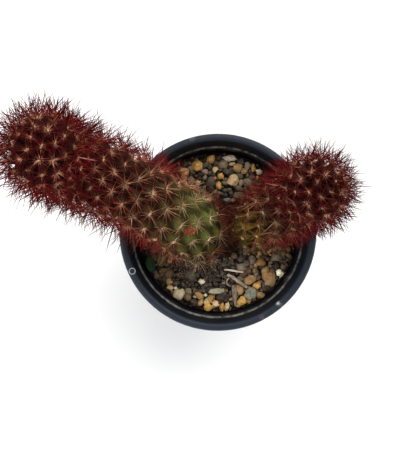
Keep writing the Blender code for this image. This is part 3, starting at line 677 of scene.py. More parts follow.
def make_pot():
    # Radius, height and softness of each corner, from the floor's middle over the rim to the base
    profile = (
        (0.0, FLOOR_THICKNESS, 0.0),
        (FLOOR_RADIUS - 1.0, FLOOR_THICKNESS, 0.5),
        (FLOOR_RADIUS, WALL_FOOT, 0.5),
        (STEP_RADIUS, STEP_HEIGHT, 0.25),
        (STEP_RADIUS + 0.8, STEP_HEIGHT + 0.25, 0.3),
        (RIM_RADIUS - 3.85, POT_HEIGHT - 1.3, 0.5),
        (RIM_RADIUS - 3.1, POT_HEIGHT - 0.2, 0.6),
        (RIM_RADIUS - 1.9, POT_HEIGHT, 0.5),
        (RIM_RADIUS - 0.6, POT_HEIGHT - 0.3, 0.7),
        (RIM_RADIUS, POT_HEIGHT - 1.8, 0.8),
        (RIM_RADIUS - 0.3, POT_HEIGHT - RIM_SKIRT, 0.3),
        (RIM_RADIUS - 1.4, POT_HEIGHT - RIM_SKIRT, 0.3),
        (RIM_RADIUS - 1.9, POT_HEIGHT - 3.4, 0.4),
        (STEP_RADIUS + 2.7, POT_HEIGHT - 4.6, 0.4),
        (STEP_RADIUS + 1.35, STEP_HEIGHT - 1.6, 0.8),
        (BASE_RADIUS + 0.3, 1.0, 0.5),
        (BASE_RADIUS - 0.6, 0.0, 0.4),
        (0.0, 0.0, 0.0),
    )
    points = [(radius * MM, 0.0, height * MM) for radius, height in softened(profile)]
    mesh = bpy.data.meshes.new("pot_shell")
    mesh.from_pydata(points, [(k, k + 1) for k in range(len(points) - 1)], [])
    pot = add_object("pot_shell", mesh)
    modify(pot, "SCREW", axis="Z", steps=POT_STEPS, render_steps=POT_STEPS, use_merge_vertices=True,
           merge_threshold=0.02 * MM)
    apply_modifiers(pot)
    pot.data.materials.append(MATERIALS["pot"])
    cutters = []
    for k in range(DRAIN_HOLES):
        x, y = at_turn(DRAIN_CIRCLE, tau * (k + 0.5) / DRAIN_HOLES)
        place = (x * MM, y * MM, 0.5 * MM)
        bpy.ops.mesh.primitive_cylinder_add(
            vertices=32, radius=DRAIN_RADIUS * MM, depth=DRAIN_DEPTH * MM, location=place
        )
        cutters.append(bpy.context.object)
        modify(pot, "BOOLEAN", operation="DIFFERENCE", object=cutters[-1])
    apply_modifiers(pot)
    for cutter in cutters:
        bpy.data.objects.remove(cutter, do_unlink=True)
    pot.data.shade_smooth()
    pot.data.set_sharp_from_angle(angle=radians(40.0))
    declare(pot, "pot_plastic", "pot")


def make_mark():
    """Moulding mark: a faint ring that follows the rounded top of the rim and sinks in evenly, painted light
    grey as its highlight.
    """
    points, faces = [], []
    for i in range(MARK_TURNS):
        for j in range(MARK_SIDES):
            out, up = at_turn(MARK_THICK, tau * j / MARK_SIDES)
            x, y = at_turn(MARK_RADIUS + out, tau * i / MARK_TURNS)
            x, y = x + MARK_PLACE[0], y + MARK_PLACE[1]
            aside = abs(hypot(x, y) - (RIM_RADIUS - 2.1))
            points.append((x, y, MARK_PLACE[2] + up - 0.16 * max(0.0, aside - 0.6) ** 2))
        faces += belt(i * MARK_SIDES, (i + 1) % MARK_TURNS * MARK_SIDES, MARK_SIDES)
    declare(add_piece("rim_mould_mark", points, faces, "ring"), "pot_plastic")


# Soil and gravel
def foot_distance(x, y, feet=FEET):
    """How far a place on the soil is outside the nearest stem."""
    return min(hypot(x - foot[0], y - foot[1]) - foot[2] for foot in feet)


def in_box(x, y, box):
    return box[0][0] < x < box[0][1] and box[1][0] < y < box[1][1]


def soil_height(x, y):
    relief = 0.55 * sin(0.9 * x + 1.7) * sin(0.8 * y + 0.4) + 0.4 * sin(1.7 * x - 1.1 * y + 2.0)
    near = max(0.0, min(1.0, 1.0 - foot_distance(x, y) / 7.0))
    return SOIL_LEVEL + (SOIL_AT_STEMS - SOIL_LEVEL) * near + relief * (1.0 - near) * 0.9


def make_soil():
    """Crumbly top that is calm at the stems, a smooth side along the wall and a flat underside."""
    edge = inner_radius(SOIL_LEVEL) - SEAT_GAP - 0.1
    points, faces = [(0.0, 0.0, soil_height(0.0, 0.0))], []
    for i in range(1, SOIL_RINGS + 1):
        for j in range(SOIL_TURNS):
            x, y = at_turn(edge * i / SOIL_RINGS, tau * (j + 0.5 * (i % 2)) / SOIL_TURNS)
            crumb = noise.noise(Vector((x, y, 3.0)) * 0.9) * 0.55
            crumb += noise.noise(Vector((x, y, 9.0)) * 2.6) * 0.4
            calm = min(1.0, max(0.0, foot_distance(x, y) / 3.0)) * (1.0 if i < SOIL_RINGS else 0.5)
            points.append((x, y, soil_height(x, y) - 0.5 + crumb * calm))
    faces += [(0, 1 + j, 1 + (j + 1) % SOIL_TURNS) for j in range(SOIL_TURNS)]
    for i in range(SOIL_RINGS - 1):
        faces += belt(1 + i * SOIL_TURNS, 1 + (i + 1) * SOIL_TURNS, SOIL_TURNS)
    top = 1 + (SOIL_RINGS - 1) * SOIL_TURNS
    low = FLOOR_THICKNESS + SEAT_GAP
    for height, away in (
        (30.0, inner_radius(30.0) - 0.45),
        (WALL_FOOT + 0.1, FLOOR_RADIUS - 0.4),
        (low, FLOOR_RADIUS - 1.2),
    ):
        start = len(points)
        points += [(*at_turn(away, tau * j / SOIL_TURNS), height) for j in range(SOIL_TURNS)]
        faces += belt(top, start, SOIL_TURNS)
        top = start
    points.append((0.0, 0.0, low))
    faces += [(top + j, len(points) - 1, top + (j + 1) % SOIL_TURNS) for j in range(SOIL_TURNS)]
    soil = add_piece("soil_mix", points, faces, "soil")
    face_outwards(soil)
    declare(soil, "gravel_soil", "soil")


def scattered(draw, reach):
    """An even random place on a round patch of soil."""
    return at_turn(sqrt(draw.random()) * reach, draw.uniform(0.0, tau))


def crowded(x, y, long, placed, share):
    return any(hypot(x - other[0], y - other[1]) < share * (long + other[2]) for other in placed)


def shared_stones():
    """Places of the solid soil's stones: those that show, then the ones put in by rule."""
    draw = np.random.default_rng(SHARED_SEED)
    placed = [(*stone[:4], radians(stone[4]), stone[5]) for stone in STONES]
    for _ in range(MOST_TRIES):
        if len(placed) == len(STONES) + SHARED_STONES:
            break
        long = draw.uniform(4.0, 6.6)
        wide = long * draw.uniform(0.68, 0.95)
        x, y = scattered(draw, 36.6 - 0.56 * long)
        if foot_distance(x, y, SOLID_FEET) < 0.5 * long - 1.0 or crowded(x, y, long, placed, LARGE_APART):
            continue
        placed.append((x, y, long, wide, draw.uniform(0.0, pi), ""))
    return placed


def fill_tone(x, y, draw):
    return pick(draw, DARK_TONES if in_box(x, y, DARK_SOIL) else FILL_TONES)


def varied(tone, draw):
    return np.array(TONES[tone]) * draw.uniform(0.8, 1.2) * (1.0 + draw.uniform(-0.03, 0.03, 3))


def stone(template, size, place, turn, tone, draw):
    """A rounded pebble: a ball with broad flats, a little noise, stretched and turned."""
    seed = draw.uniform(0.0, 100.0)
    points = template[0].copy()
    for _ in range(STONE_FLATS):
        facing = unit(draw.normal(size=3))
        over = np.maximum(points @ facing - draw.uniform(0.66, 0.88), 0.0)
        points -= over[:, None] * facing * 0.85
    points *= (1.04 + 0.20 * lumps(points, 1.3, seed))[:, None]
    tilt = np.array(Euler((draw.uniform(-0.25, 0.25), draw.uniform(-0.25, 0.25), turn)).to_matrix())
    points = (points * (STONE_SCALE * np.array(size))) @ tilt.T + np.array(place)
    return points, template[1], varied(tone, draw)


def make_gravel():
    draw = np.random.default_rng(GRAVEL_SEED)
    fine, medium, coarse = ball(4), ball(3), ball(2)
    stones = shared_stones()
    shapes, taken = [], set()
    for index, (x, y, long, wide, turn, tone) in enumerate(stones):
        shown = index < len(STONES)
        if not shown and in_box(x, y, FORK):
            continue
        tall = 0.78 * wide
        highest = LARGE_TOPS[foot_distance(x, y) >= 0.5 * long + 3.0]
        centre = min(soil_height(x, y) + 0.55 * tall, highest) - 0.56 * tall
        if not shown:
            centre -= DARK_SINK if in_box(x, y, DARK_SOIL) else 0.0
            spot = min(SPOTS, key=lambda spot: hypot(x - spot[0], y - spot[1]))
            if hypot(x - spot[0], y - spot[1]) < SPOT_REACH and spot[2] > SPOT_LEAST:
                taken.add(spot)
                tone = spot[5]
            else:
                tone = fill_tone(x, y, draw)
        shapes.append(stone(fine if shown else medium, (long, wide, tall), (x, y, centre), turn, tone, draw))
    add_shapes("gravel_large", "gravel_soil", "pebble", shapes)

    # Smaller stones wherever there is room between them
    placed, shapes = [place[:3] for place in stones], []
    for spot in SPOTS:
        if spot in taken:
            continue
        x, y, long, wide, turn, tone = spot
        placed.append((x, y, long))
        highest = SMALL_TOPS[foot_distance(x, y) >= FOOT_MARGIN]
        place = (x, y, min(soil_height(x, y) + 0.6, highest - 0.4 * wide))
        shapes.append(stone(medium, (long, wide, 0.75 * wide), place, radians(turn), tone, draw))
    for _ in range(MOST_TRIES):
        if len(shapes) == SMALL_STONES:
            break
        long = draw.uniform(1.9, 4.0)
        x, y = scattered(draw, GRAVEL_RADIUS - 0.5 * long)
        if foot_distance(x, y) < -1.5 or in_box(x, y, FORK):
            continue
        if long > DARK_LONGEST and in_box(x, y, DARK_SOIL):
            continue
        if crowded(x, y, long, placed, SMALL_APART):
            continue
        placed.append((x, y, long))
        wide = long * draw.uniform(0.6, 0.95)
        tall = 0.75 * wide
        highest = SMALL_TOPS[0] - 0.5 * tall if foot_distance(x, y) < FOOT_MARGIN else SMALL_TOPS[1]
        place = (x, y, min(soil_height(x, y) + draw.uniform(-0.1, 0.5), highest))
        tone = fill_tone(x, y, draw)
        shapes.append(stone(medium, (long, wide, tall), place, draw.uniform(0, pi), tone, draw))
    add_shapes("gravel_small", "gravel_soil", "pebble", shapes)

    # Grit and crumbs of mix
    shapes = []
    for index in range(GRAINS):
        size = draw.uniform(0.5, 1.5)
        x, y = scattered(draw, GRAVEL_RADIUS)
        if index >= GRAINS - DARK_GRAINS:
            x, y = draw.uniform(*DARK_SOIL[0]), draw.uniform(*DARK_SOIL[1])
        if in_box(x, y, FORK):
            continue
        turn = np.array(Euler(draw.uniform(0, 6.2, 3)).to_matrix())
        jitter = coarse[0] * (1.0 + draw.uniform(-0.22, 0.22, len(coarse[0])))[:, None]
        stretch = np.array((1.0, draw.uniform(0.5, 0.9), draw.uniform(0.4, 0.8))) * 0.5 * size
        points = (jitter * stretch) @ turn.T + np.array((x, y, soil_height(x, y) + draw.uniform(-0.5, 0.3)))
        tone = pick(draw, MIX_TONES if in_box(x, y, DARK_SOIL) else GRIT_TONES)
        shapes.append((points, coarse[1], varied(tone, draw)))
    add_shapes("soil_grit", "gravel_soil", "pebble", shapes)


# Stems
def bent_line(control, samples=240):
    """A smooth line: the run to each of its points, their places, and directions along and across."""
    places = bezier(control, samples)
    along = units(np.gradient(places, axis=0))
    across = np.empty_like(along)
    side = np.array((1.0, 0.0, 0.0))
    for k, direction in enumerate(along):
        side = unit(side - direction * side.dot(direction))
        across[k] = side
    steps = np.linalg.norm(np.diff(places, axis=0), axis=1)
    run = np.concatenate([[0.0], np.cumsum(steps)])
    return SimpleNamespace(run=run, places=places, along=along, across=across, other=np.cross(along, across))


def at_run(line, rows, run):
    return np.array([np.interp(run, line.run, rows[:, k]) for k in range(3)])


def on_stem(line, radii, run, polar, turn):
    """Place and outward direction on the stem's surface."""
    outward = at_run(line, line.across, run) * cos(turn) + at_run(line, line.other, run) * sin(turn)
    normal = unit(outward * sin(polar) + at_run(line, line.along, run) * cos(polar))
    radius = radii[0] + (radii[1] - radii[0]) * run / line.run[-1]
    return at_run(line, line.places, run) + normal * radius, normal


def areole_spiral(total, radii, spacings):
    """Run, polar angle and turn of every areole, from the tip's middle downwards."""
    found = []
    depth = 0.0
    while True:
        share = depth / (total + radii[1])
        spacing = spacings[1] + (spacings[0] - spacings[1]) * share**0.7
        run = min(total, total + radii[1] - depth)
        radius = radii[0] + (radii[1] - radii[0]) * run / total
        step = 0.866 * spacing**2 / (tau * radius)
        middle = depth + 0.5 * step
        turn = len(found) * GOLDEN_TURN
        if middle < radii[1]:
            found.append((total, acos(1.0 - middle / radii[1]), turn))
        elif middle < total + radii[1]:
            found.append((total + radii[1] - middle, 0.5 * pi, turn))
        else:
            return found
        depth += step


def stem_plan(stem):
    """The areoles with their places and directions, the ring round the foot, and triangles that join them."""
    line = bent_line(stem.line)
    total, girth = line.run[-1], 0.5 * sum(stem.radii)

    def unrolled(run, polar, turn):
        """Place of a point of the surface when it is spread out flat round the tip."""
        return Vector(at_turn(tan(0.5 * polar) * exp((total - run) / girth), turn))

    areoles = areole_spiral(total, stem.radii, stem.spacings)
    areoles = [areole for areole in areoles if on_stem(line, stem.radii, *areole)[0][2] > LOWEST_AREOLE]
    turns = [tau * k / FOOT_SIDES for k in range(FOOT_SIDES)]
    flat = [unrolled(*areole) for areole in areoles] + [unrolled(-4.0, 0.5 * pi, turn) for turn in turns]
    result = delaunay_2d_cdt(flat, [], [], 0, 1e-7)
    source = [entries[0] for entries in result[3]]
    places = [on_stem(line, stem.radii, *areole) for areole in areoles]
    outward = [line.across[0] * cos(turn) + line.other[0] * sin(turn) for turn in turns]
    ring = [np.array(stem.line[0][:2]) + unit(out[:2]) * stem.stub for out in outward]
    along = [
        (run + (girth * (1.0 - polar / (0.5 * pi)) if run >= total else 0.0)) / (total + girth)
        for run, polar, _ in areoles
    ]
    return SimpleNamespace(
        tops=np.array([top for top, _ in places]),
        normals=np.array([normal for _, normal in places]),
        along=np.array(along),
        axes=np.array([at_run(line, line.along, areole[0]) for areole in areoles]),
        ring=np.array([(*place, FOOT_HEIGHT) for place in ring]),
        triangles=[tuple(source[i] for i in face) for face in result[2]],
    )


def make_body(name, plan):
    """Rounded tubercles: sunken valleys, a shoulder and a small crown round each areole."""
    count = len(plan.tops)
    corners = np.concatenate([plan.tops, plan.ring])
    corner_along = np.concatenate([plan.along, np.zeros(FOOT_SIDES)])
    around = [[] for _ in corners]
    owner = {}
    points, along, raised, faces = [], [], [], []

    def add(place, where, height):
        points.append(np.array(place, float))
        along.append(where)
        raised.append(height)

    # A valley in the middle of each triangle
    for index, triangle in enumerate(plan.triangles):
        for k, corner in enumerate(triangle):
            around[corner].append(index)
            owner[(corner, triangle[(k + 1) % 3])] = index
        three = corners[list(triangle)]
        where = corner_along[list(triangle)].mean()
        real = [c for c in triangle if c < count]
        spread = np.linalg.norm(three - three.mean(axis=0), axis=1).mean()
        deepest = np.interp(where, (0.10, 0.45), (FOOT_DEPTH, TUBERCLE_DEPTH))
        sink = min(deepest, 0.6 * spread) if len(real) == 3 else 0.6
        normal = plan.normals[real].mean(axis=0) if real else np.array((0.0, 0.0, 1.0))
        add(three.mean(axis=0) - unit(normal) * sink, where, 0.0)

    # A tubercle over each areole, within the valleys round it
    for corner, (top, normal, where) in enumerate(zip(plan.tops, plan.normals, plan.along)):
        loop = []
        current = around[corner][0]
        while current not in loop:
            loop.append(current)
            triangle = plan.triangles[current]
            current = owner[(corner, triangle[(triangle.index(corner) + 2) % 3])]
        size, start = len(loop), len(points)
        spokes = [points[index] - top for index in loop]
        flats = [spoke - normal * spoke.dot(normal) for spoke in spokes]
        for flat in flats:
            add(top + flat * SHOULDER_REACH - normal * SHOULDER_DROP, where, 0.55)
        for flat in flats:
            add(top + unit(flat) * CROWN_RADIUS + normal * CROWN_RISE, where, 1.0)
        add(top - normal * 0.05, where, 1.0)
        for k in range(size):
            after = (k + 1) % size
            faces.append((loop[k], loop[after], start + after, start + k))
            faces.append((start + k, start + after, start + size + after, start + size + k))
            faces.append((start + size + k, start + size + after, start + 2 * size))

    # The foot's ring and the stub under it
    ring_start = len(points)
    lower = ring_start + FOOT_SIDES
    for place in plan.ring:
        add(place, 0.0, 0.4)
    for x, y, _ in plan.ring:
        add((x, y, STUB_BOTTOM), 0.0, 0.0)
    for k in range(FOOT_SIDES):
        after = (k + 1) % FOOT_SIDES
        here, following = count + k, count + after
        for index in around[here]:
            triangle = plan.triangles[index]
            spot = triangle.index(here)
            ahead, behind = triangle[(spot + 1) % 3], triangle[(spot + 2) % 3]
            if (here, behind) in owner:
                faces.append((ring_start + k, index, owner[(here, behind)]))
            if ahead == following:
                faces.append((ring_start + k, ring_start + after, index))
        faces.append((ring_start + k, lower + k, lower + after, ring_start + after))
    faces.append(tuple(reversed(range(lower, lower + FOOT_SIDES))))
    body = add_piece(name, points, faces, "flesh", along=along, raised=raised)
    face_outwards(body)
    modify(body, "SUBSURF", levels=2, render_levels=2)
    apply_modifiers(body)
    body.data.shade_smooth()
    return body


def blocked(points, neighbour):
    """Whether any of the given points of a spine lies in the pot, the soil or the other stem."""
    x, y, z = points.T
    away = np.hypot(x, y)
    centres, girths = neighbour
    if -12.0 < x[-1] < 22.0 and z[-1] < 112.0:
        gaps = np.linalg.norm(points[:, None] - centres[None], axis=2) - girths
        if gaps.min() < -0.3:
            return True
    wall = np.where(z < STEP_HEIGHT, inner_radius(z), RIM_RADIUS - 6.0)
    low = (away < RIM_RADIUS + 0.4) & (z < POT_HEIGHT + 0.4)
    return bool((low & ((away > wall - 0.6) | (z < SPINE_CLEAR_Z - 0.6))).any())


def clear_aim(root, aim, length, neighbour):
    """The spine's direction and length, raised first and then shortened until nothing is in its way."""
    shares = np.linspace(0.2, 1.0, 12)[:, None]
    for attempt in range(RAISES + CUTS):
        if not blocked(root + aim * length * shares, neighbour):
            break
        if attempt < RAISES:
            aim = unit(aim + np.array((0.0, 0.0, 0.14)))
        else:
            length *= 0.86
    return aim, length


def spine_faces():
    """Triangles of one three-sided spine: its rings, its point and its root."""
    faces = []
    last = len(SPINE_SHARES) - 1
    for low in range(0, 3 * last, 3):
        for k in range(3):
            after = (k + 1) % 3
            faces.append((low + k, low + after, low + 3 + after))
            faces.append((low + k, low + 3 + after, low + 3 + k))
    faces += [(3 * last + k, 3 * last + (k + 1) % 3, 3 * last + 3) for k in range(3)]
    return np.array(faces + [(0, 2, 1)])


def tangents(normal, axis):
    """Directions across the surface: towards the tip, and round the stem."""
    first = axis - normal * normal.dot(axis)
    if np.linalg.norm(first) < 0.1:
        first = np.cross(normal, (1.0, 0.3, 0.0))
    first = unit(first)
    return first, np.cross(normal, first)


def areole_look(stem, top, normal, where):
    """How young, near the tip, sideways or deep in the fork an areole is, from 0 to 1, and how red: redder
    with age, and with painted shade as redness where it faces the front, sideways, down or into the fork.
    """
    young, crown = ease(where, 0.12, 0.28), ease(where, 0.70, 0.25)
    sideways = ease(-normal[2], -0.6, 0.45)
    towards = stem.facing * normal[0]
    fork = ease(towards, 0.35, 0.3) * ease(-normal[2], -0.45, 0.25) * ease(-abs(top[0] - SPLIT_X), -13.0, 4.0)
    inner = ease(towards, 0.1, 0.4) * ease(-where, -0.36, 0.12)
    # Painted shade: areoles facing the front, sideways, down or into the fork get redder spines, standing in
    # for the shade they lie in.
    redness = (where - 0.05) * 1.1 + stem.redness + stem.front_shade_redness * max(0.0, -normal[1])
    redness += 0.55 * max(sideways * (1 - inner) * (0.35 + 0.65 * ease(where, 0.1, 0.2)), fork)
    return SimpleNamespace(
        young=young, crown=crown, sideways=sideways, fork=fork, redness=redness,
        level=young * (1 - sideways), grown=max(young, fork, 0.8 * sideways * (1 - inner)),
    )


def spine_tints(stem, look, central, draw):
    """Pale at the foot of the plant, tan then red up the stem, and each spine darker to its point; painted
    light makes young sideways spines brighter, painted shade makes those in the fork darker, and a few get
    painted glints.
    """
    dim = 0.50 - 0.22 * look.young
    # Painted light on young sideways spines, standing in for light shining through them; painted shade
    # darkens the spines in the fork.
    shade = (dim + (1.80 - dim) * draw.random() ** 1.6) * (1.0 + 0.55 * look.sideways * look.young)
    shade = min(shade, 1.95) * (1.0 - 0.45 * look.fork) * (stem.shades[0] + stem.shades[1] * look.young)
    shade *= 1.0 - 0.25 * look.crown * (1 - look.sideways)
    redness = look.redness + (min(0.08, draw.normal(0.0, 0.07)) - (0.20 if draw.random() < 0.22 else 0.0))
    low, high = ease(redness, 0.28, 0.22), ease(redness, 0.48, 0.40)
    old, grown, young = SPINE_COLOURS
    levels = (old * (1 - low) + grown * low) * (1 - high) + young * high
    levels = (levels * CENTRAL_SHADE if central else levels) * shade
    if stem.golden and look.redness < 0.5:
        levels *= GOLDEN
    levels[0] *= look.bright
    levels[1] *= 0.5 + 0.5 * look.bright
    if 0.15 < look.sideways < 0.95 and look.young > 0.5 and draw.random() < 0.05:
        levels[1:3] = levels[1:3] * 0.4 + GLINT
    if look.burst:
        levels[:3] = levels[:3] * 0.6 + BURST
    elif look.sideways > 0.0:
        levels[0] *= 1 - 0.55 * look.sideways
        levels[1] *= 1 - 0.45 * look.sideways
    return np.repeat(levels, (3, 3, 3, 3, 1), axis=0)


def make_spines(stem, plan):
    """Radial spines that fan out of each long areole, and a few longer central ones."""
    draw = np.random.default_rng(stem.seed + 2)
    ring = np.array([at_turn(1.0, turn) for turn in np.arange(3) * 2.0 * pi / 3.0 + 0.4])
    faces, shapes = spine_faces(), []
    other = RIGHT if stem is LEFT else LEFT
    centres = bent_line(other.line, 48).places
    neighbour = (centres, np.linspace(*other.radii, len(centres)))
    places = list(zip(plan.tops, plan.normals, plan.along, plan.axes))
    if stem is LEFT:
        places.append((np.array(DRY_TUFT), np.array((0.25, -0.72, 0.65)), 0.0, np.array((0.0, 0.0, 1.0))))
    for top, normal, where, axis in places:
        first, second = tangents(normal, axis)
        look = areole_look(stem, top, normal, where)
        young, sideways, fork, level, grown = look.young, look.sideways, look.fork, look.level, look.grown
        radials = int(draw.integers(*RADIAL_COUNTS)) + round(6 * level)
        radials += round(5 * (1 - grown) + 7 * sideways * young + 30 * fork)
        centrals = int(draw.integers(*CENTRAL_COUNTS)) + round(0.8 * young) + round(0.7 * look.crown)
        look.burst = draw.random() < 0.35 * young
        look.bright = draw.uniform(0.45, 1.2) * (1 - 0.2 * level + 0.5 * look.crown)
        offset = draw.uniform(0.0, tau)
        for k in range(radials + centrals):
            central = k >= radials
            if central:
                turn = offset + tau * (k - radials) / centrals + draw.uniform(-0.5, 0.5)
                rise = radians(draw.uniform(*CENTRAL_RISES))
                length = draw.uniform(CENTRAL_SHORTEST, stem.longest) * (0.5 + 0.5 * young) * stem.reach
                thick = draw.uniform(*CENTRAL_THICK) * (0.36 + 0.64 * young)
            else:
                turn = offset + tau * (k + draw.uniform(-0.45, 0.45)) / radials
                rise = radians(draw.uniform(*RADIAL_RISES) + draw.uniform(0.0, 12.0) * young)
                length = draw.uniform(*RADIAL_LENGTHS) + draw.uniform(*GROWN_LENGTHS) * grown
                length *= stem.reach
                length *= 0.86 + 0.40 * sideways * draw.uniform(0.6, 1.5)
                length *= 0.8 + 0.2 * max(young, fork)
                thick = 0.42 + 0.40 * grown + 0.50 * sideways * young - 0.20 * level
                thick *= draw.uniform(*RADIAL_THICK)
            outward = unit(first * cos(turn) + second * sin(turn) * AREOLE_FAN)
            aim = unit(outward * cos(rise) + normal * sin(rise) + draw.normal(0.0, 0.15 + 0.09 * level, 3))
            spot = first * cos(turn) * 0.35 + second * sin(turn) * AREOLE_HALF
            root = top + spot * draw.uniform(0.5, 1.1) - normal * 0.25
            aim, length = clear_aim(root, aim, length, neighbour)
            curve = normal * draw.uniform(-0.04, 0.03) + np.cross(normal, outward) * draw.uniform(-0.03, 0.03)
            side = unit(np.cross(aim, normal + 0.01))
            up = np.cross(side, aim)
            middle = root + aim * length * SPINE_SHARES[:, None] + curve * length * (SPINE_SHARES**2)[:, None]
            around = (side * ring[:, :1] + up * ring[:, 1:])[None] * (thick * SPINE_WIDTHS)[:, None, None]
            points = (middle[:, None] + around).reshape(-1, 3)
            points = np.concatenate([points, (root + aim * length + curve * length)[None]])
            shapes.append((points, faces, spine_tints(stem, look, central, draw)))
    add_shapes(f"stem_{stem.side}_spines", "cactus_stem", "spine", shapes)


def make_wool(stem, plan):
    """A tuft of short wool in each areole, longer round the stem than along it."""
    draw = np.random.default_rng(stem.seed + 1)
    template, faces = ball(3)
    shapes = []
    for top, normal, where, axis in zip(plan.tops, plan.normals, plan.along, plan.axes):
        first, second = tangents(normal, axis)
        rough = lumps(template, 2.6, draw.uniform(0, 90))
        size = draw.uniform(0.50, 0.85)
        stretch = np.array((draw.uniform(0.55, 0.75), draw.uniform(1.1, 1.6), 0.7))
        local = template * (1.0 + 0.6 * rough)[:, None] * stretch * size
        points = local[:, :1] * first + local[:, 1:2] * second + local[:, 2:] * normal
        cream = WOOL_OLD * (1 - where) + WOOL_YOUNG * where
        shapes.append((points + top + normal * 0.1, faces, cream * draw.uniform(0.35, 1.0)))
    add_shapes(f"stem_{stem.side}_wool", "cactus_stem", "wool", shapes)


def make_bud(body):
    """The small offset on the green foot of the long stem, with a tuft of orange-red spines."""
    draw = np.random.default_rng(BUD_SEED)
    tree = BVHTree.FromPolygons([v.co for v in body.data.vertices], [p.vertices for p in body.data.polygons])
    spot, normal, _, _ = tree.ray_cast(Vector((*BUD_SPOT, 200.0)) * MM, Vector((0.0, 0.0, -1.0)))
    normal = np.array(normal)
    place = np.array(spot) / MM + np.array((0.0, 0.0, 0.5))
    template, faces = ball(3)
    shape = (template * (2.0, 1.4, 1.3) + place, faces, BUD_TONE)
    add_shapes("bud_body", "cactus_stem", "spine", [shape])
    faces = np.array([(0, 1, 3), (1, 2, 3), (2, 0, 3), (0, 2, 1)])
    shapes = []
    for _ in range(BUD_SPINES):
        aim = unit(draw.normal(size=3))
        if aim.dot(normal) < -0.1:
            aim = aim - 2 * aim.dot(normal) * normal
        root = place + aim * (1.9, 1.3, 1.2)
        aim = unit(aim + normal * 0.3 + np.array((draw.uniform(-0.9, 0.9), 0.0, 0.0)))
        side = unit(np.cross(aim, (0.2, 0.5, 0.8)))
        up = np.cross(side, aim)
        length = draw.uniform(0.9, 1.8)
        corners = [root + (side * cos(a) + up * sin(a)) * 0.12 for a in (0.0, 2.1, 4.2)]
        tone = np.array(pick(draw, BUD_TONES)) * draw.uniform(0.6, 1.3)
        shapes.append((np.array([*corners, root + aim * length]), faces, [tone, tone, tone, tone * 0.8]))
    add_shapes("bud_spines", "cactus_stem", "spine", shapes)


def make_stem(stem):
    plan = stem_plan(stem)
    body = make_body(f"stem_{stem.side}_body", plan)
    declare(body, "cactus_stem", f"stem_{stem.side}")
    make_wool(stem, plan)
    make_spines(stem, plan)
    return body


# Loose bits on the soil
def middle_height(node):
    low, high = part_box(node)
    return 0.5 * (low[2] + high[2]) / MM


def rough_tube(node, slot, material, path, radii, rings, sides, knobbly):
    """A dry twig or root: a round section along a curve, with ridges, knots and broken ends."""
    line = bezier(path, rings)
    line[:, 2] += middle_height(node) - 0.5 * (line[:, 2].min() + line[:, 2].max())
    thick = np.interp(np.linspace(0.0, 1.0, rings), np.linspace(0, 1, len(radii)), radii)
    along = units(np.gradient(line, axis=0))
    side = units(np.cross(along, (0.0, 0.0, 1.0)))
    up = np.cross(side, along)
    points, faces = [], []
    for i in range(rings):
        for j in range(sides):
            angle = tau * j / sides
            lump = noise.noise(Vector((line[i][0] * 0.9, line[i][1] * 0.9, 2.0 * cos(angle))))
            radius = thick[i] * (1.0 + (0.10 * sin(5 * angle + 0.6 * i) + 0.5 * knobbly * lump))
            points.append(line[i] + (side[i] * cos(angle) + up[i] * sin(angle)) * radius)
    for i in range(rings - 1):
        for j in range(sides):
            a, b = i * sides + j, i * sides + (j + 1) % sides
            faces.append((a, b, b + sides, a + sides))
    for end, inward in ((0, 1), (rings - 1, -1)):
        start = end * sides
        faces += [(start + j, start + (j + 1) % sides, len(points)) for j in range(sides)]
        points.append(line[end] - along[end] * inward * 0.2 * thick[end])
    tube = add_piece(f"{node}_fine", points, faces, material)
    face_outwards(tube)
    tube.data.set_sharp_from_angle(angle=radians(60.0))
    declare(tube, slot, node)


def flake(node, slot, material, outline, thickness, place, turn, grain):
    """A flat bit of bark: its outline thickened, rounded and roughened along the grain."""
    count = len(outline)
    low = [(x, y, -0.5 * thickness) for x, y in outline]
    high = [(0.92 * x, 0.92 * y, 0.5 * thickness) for x, y in outline]
    walls = [(k, (k + 1) % count, count + (k + 1) % count, count + k) for k in range(count)]
    caps = [tuple(range(count))[::-1], tuple(range(count, 2 * count))]
    thing = add_piece(f"{node}_fine", low + high, walls + caps, material)
    face_outwards(thing)
    modify(thing, "BEVEL", width=0.3 * thickness * MM, segments=3)
    modify(thing, "REMESH", mode="VOXEL", voxel_size=BARK_VOXEL * MM)
    apply_modifiers(thing)
    height = middle_height(node)
    spin = Matrix.Rotation(radians(turn), 3, "Z")
    for vertex in thing.data.vertices:
        spot = vertex.co / MM
        ripple = noise.noise(Vector((spot.x * grain[0], spot.y * grain[1], 4.0)))
        chipped = noise.noise(spot * 0.9 + Vector((7.0, 0.0, 0.0)))
        spot.z += 0.22 * ripple * thickness + 0.1 * chipped
        spot.x *= 1.0 + 0.06 * chipped
        spot.y *= 1.0 + 0.06 * chipped
        vertex.co = (spin @ spot + Vector((*place, height))) * MM
    thing.data.shade_smooth()
    if not thing.data.materials:
        thing.data.materials.append(MATERIALS[material])
    declare(thing, slot, node)


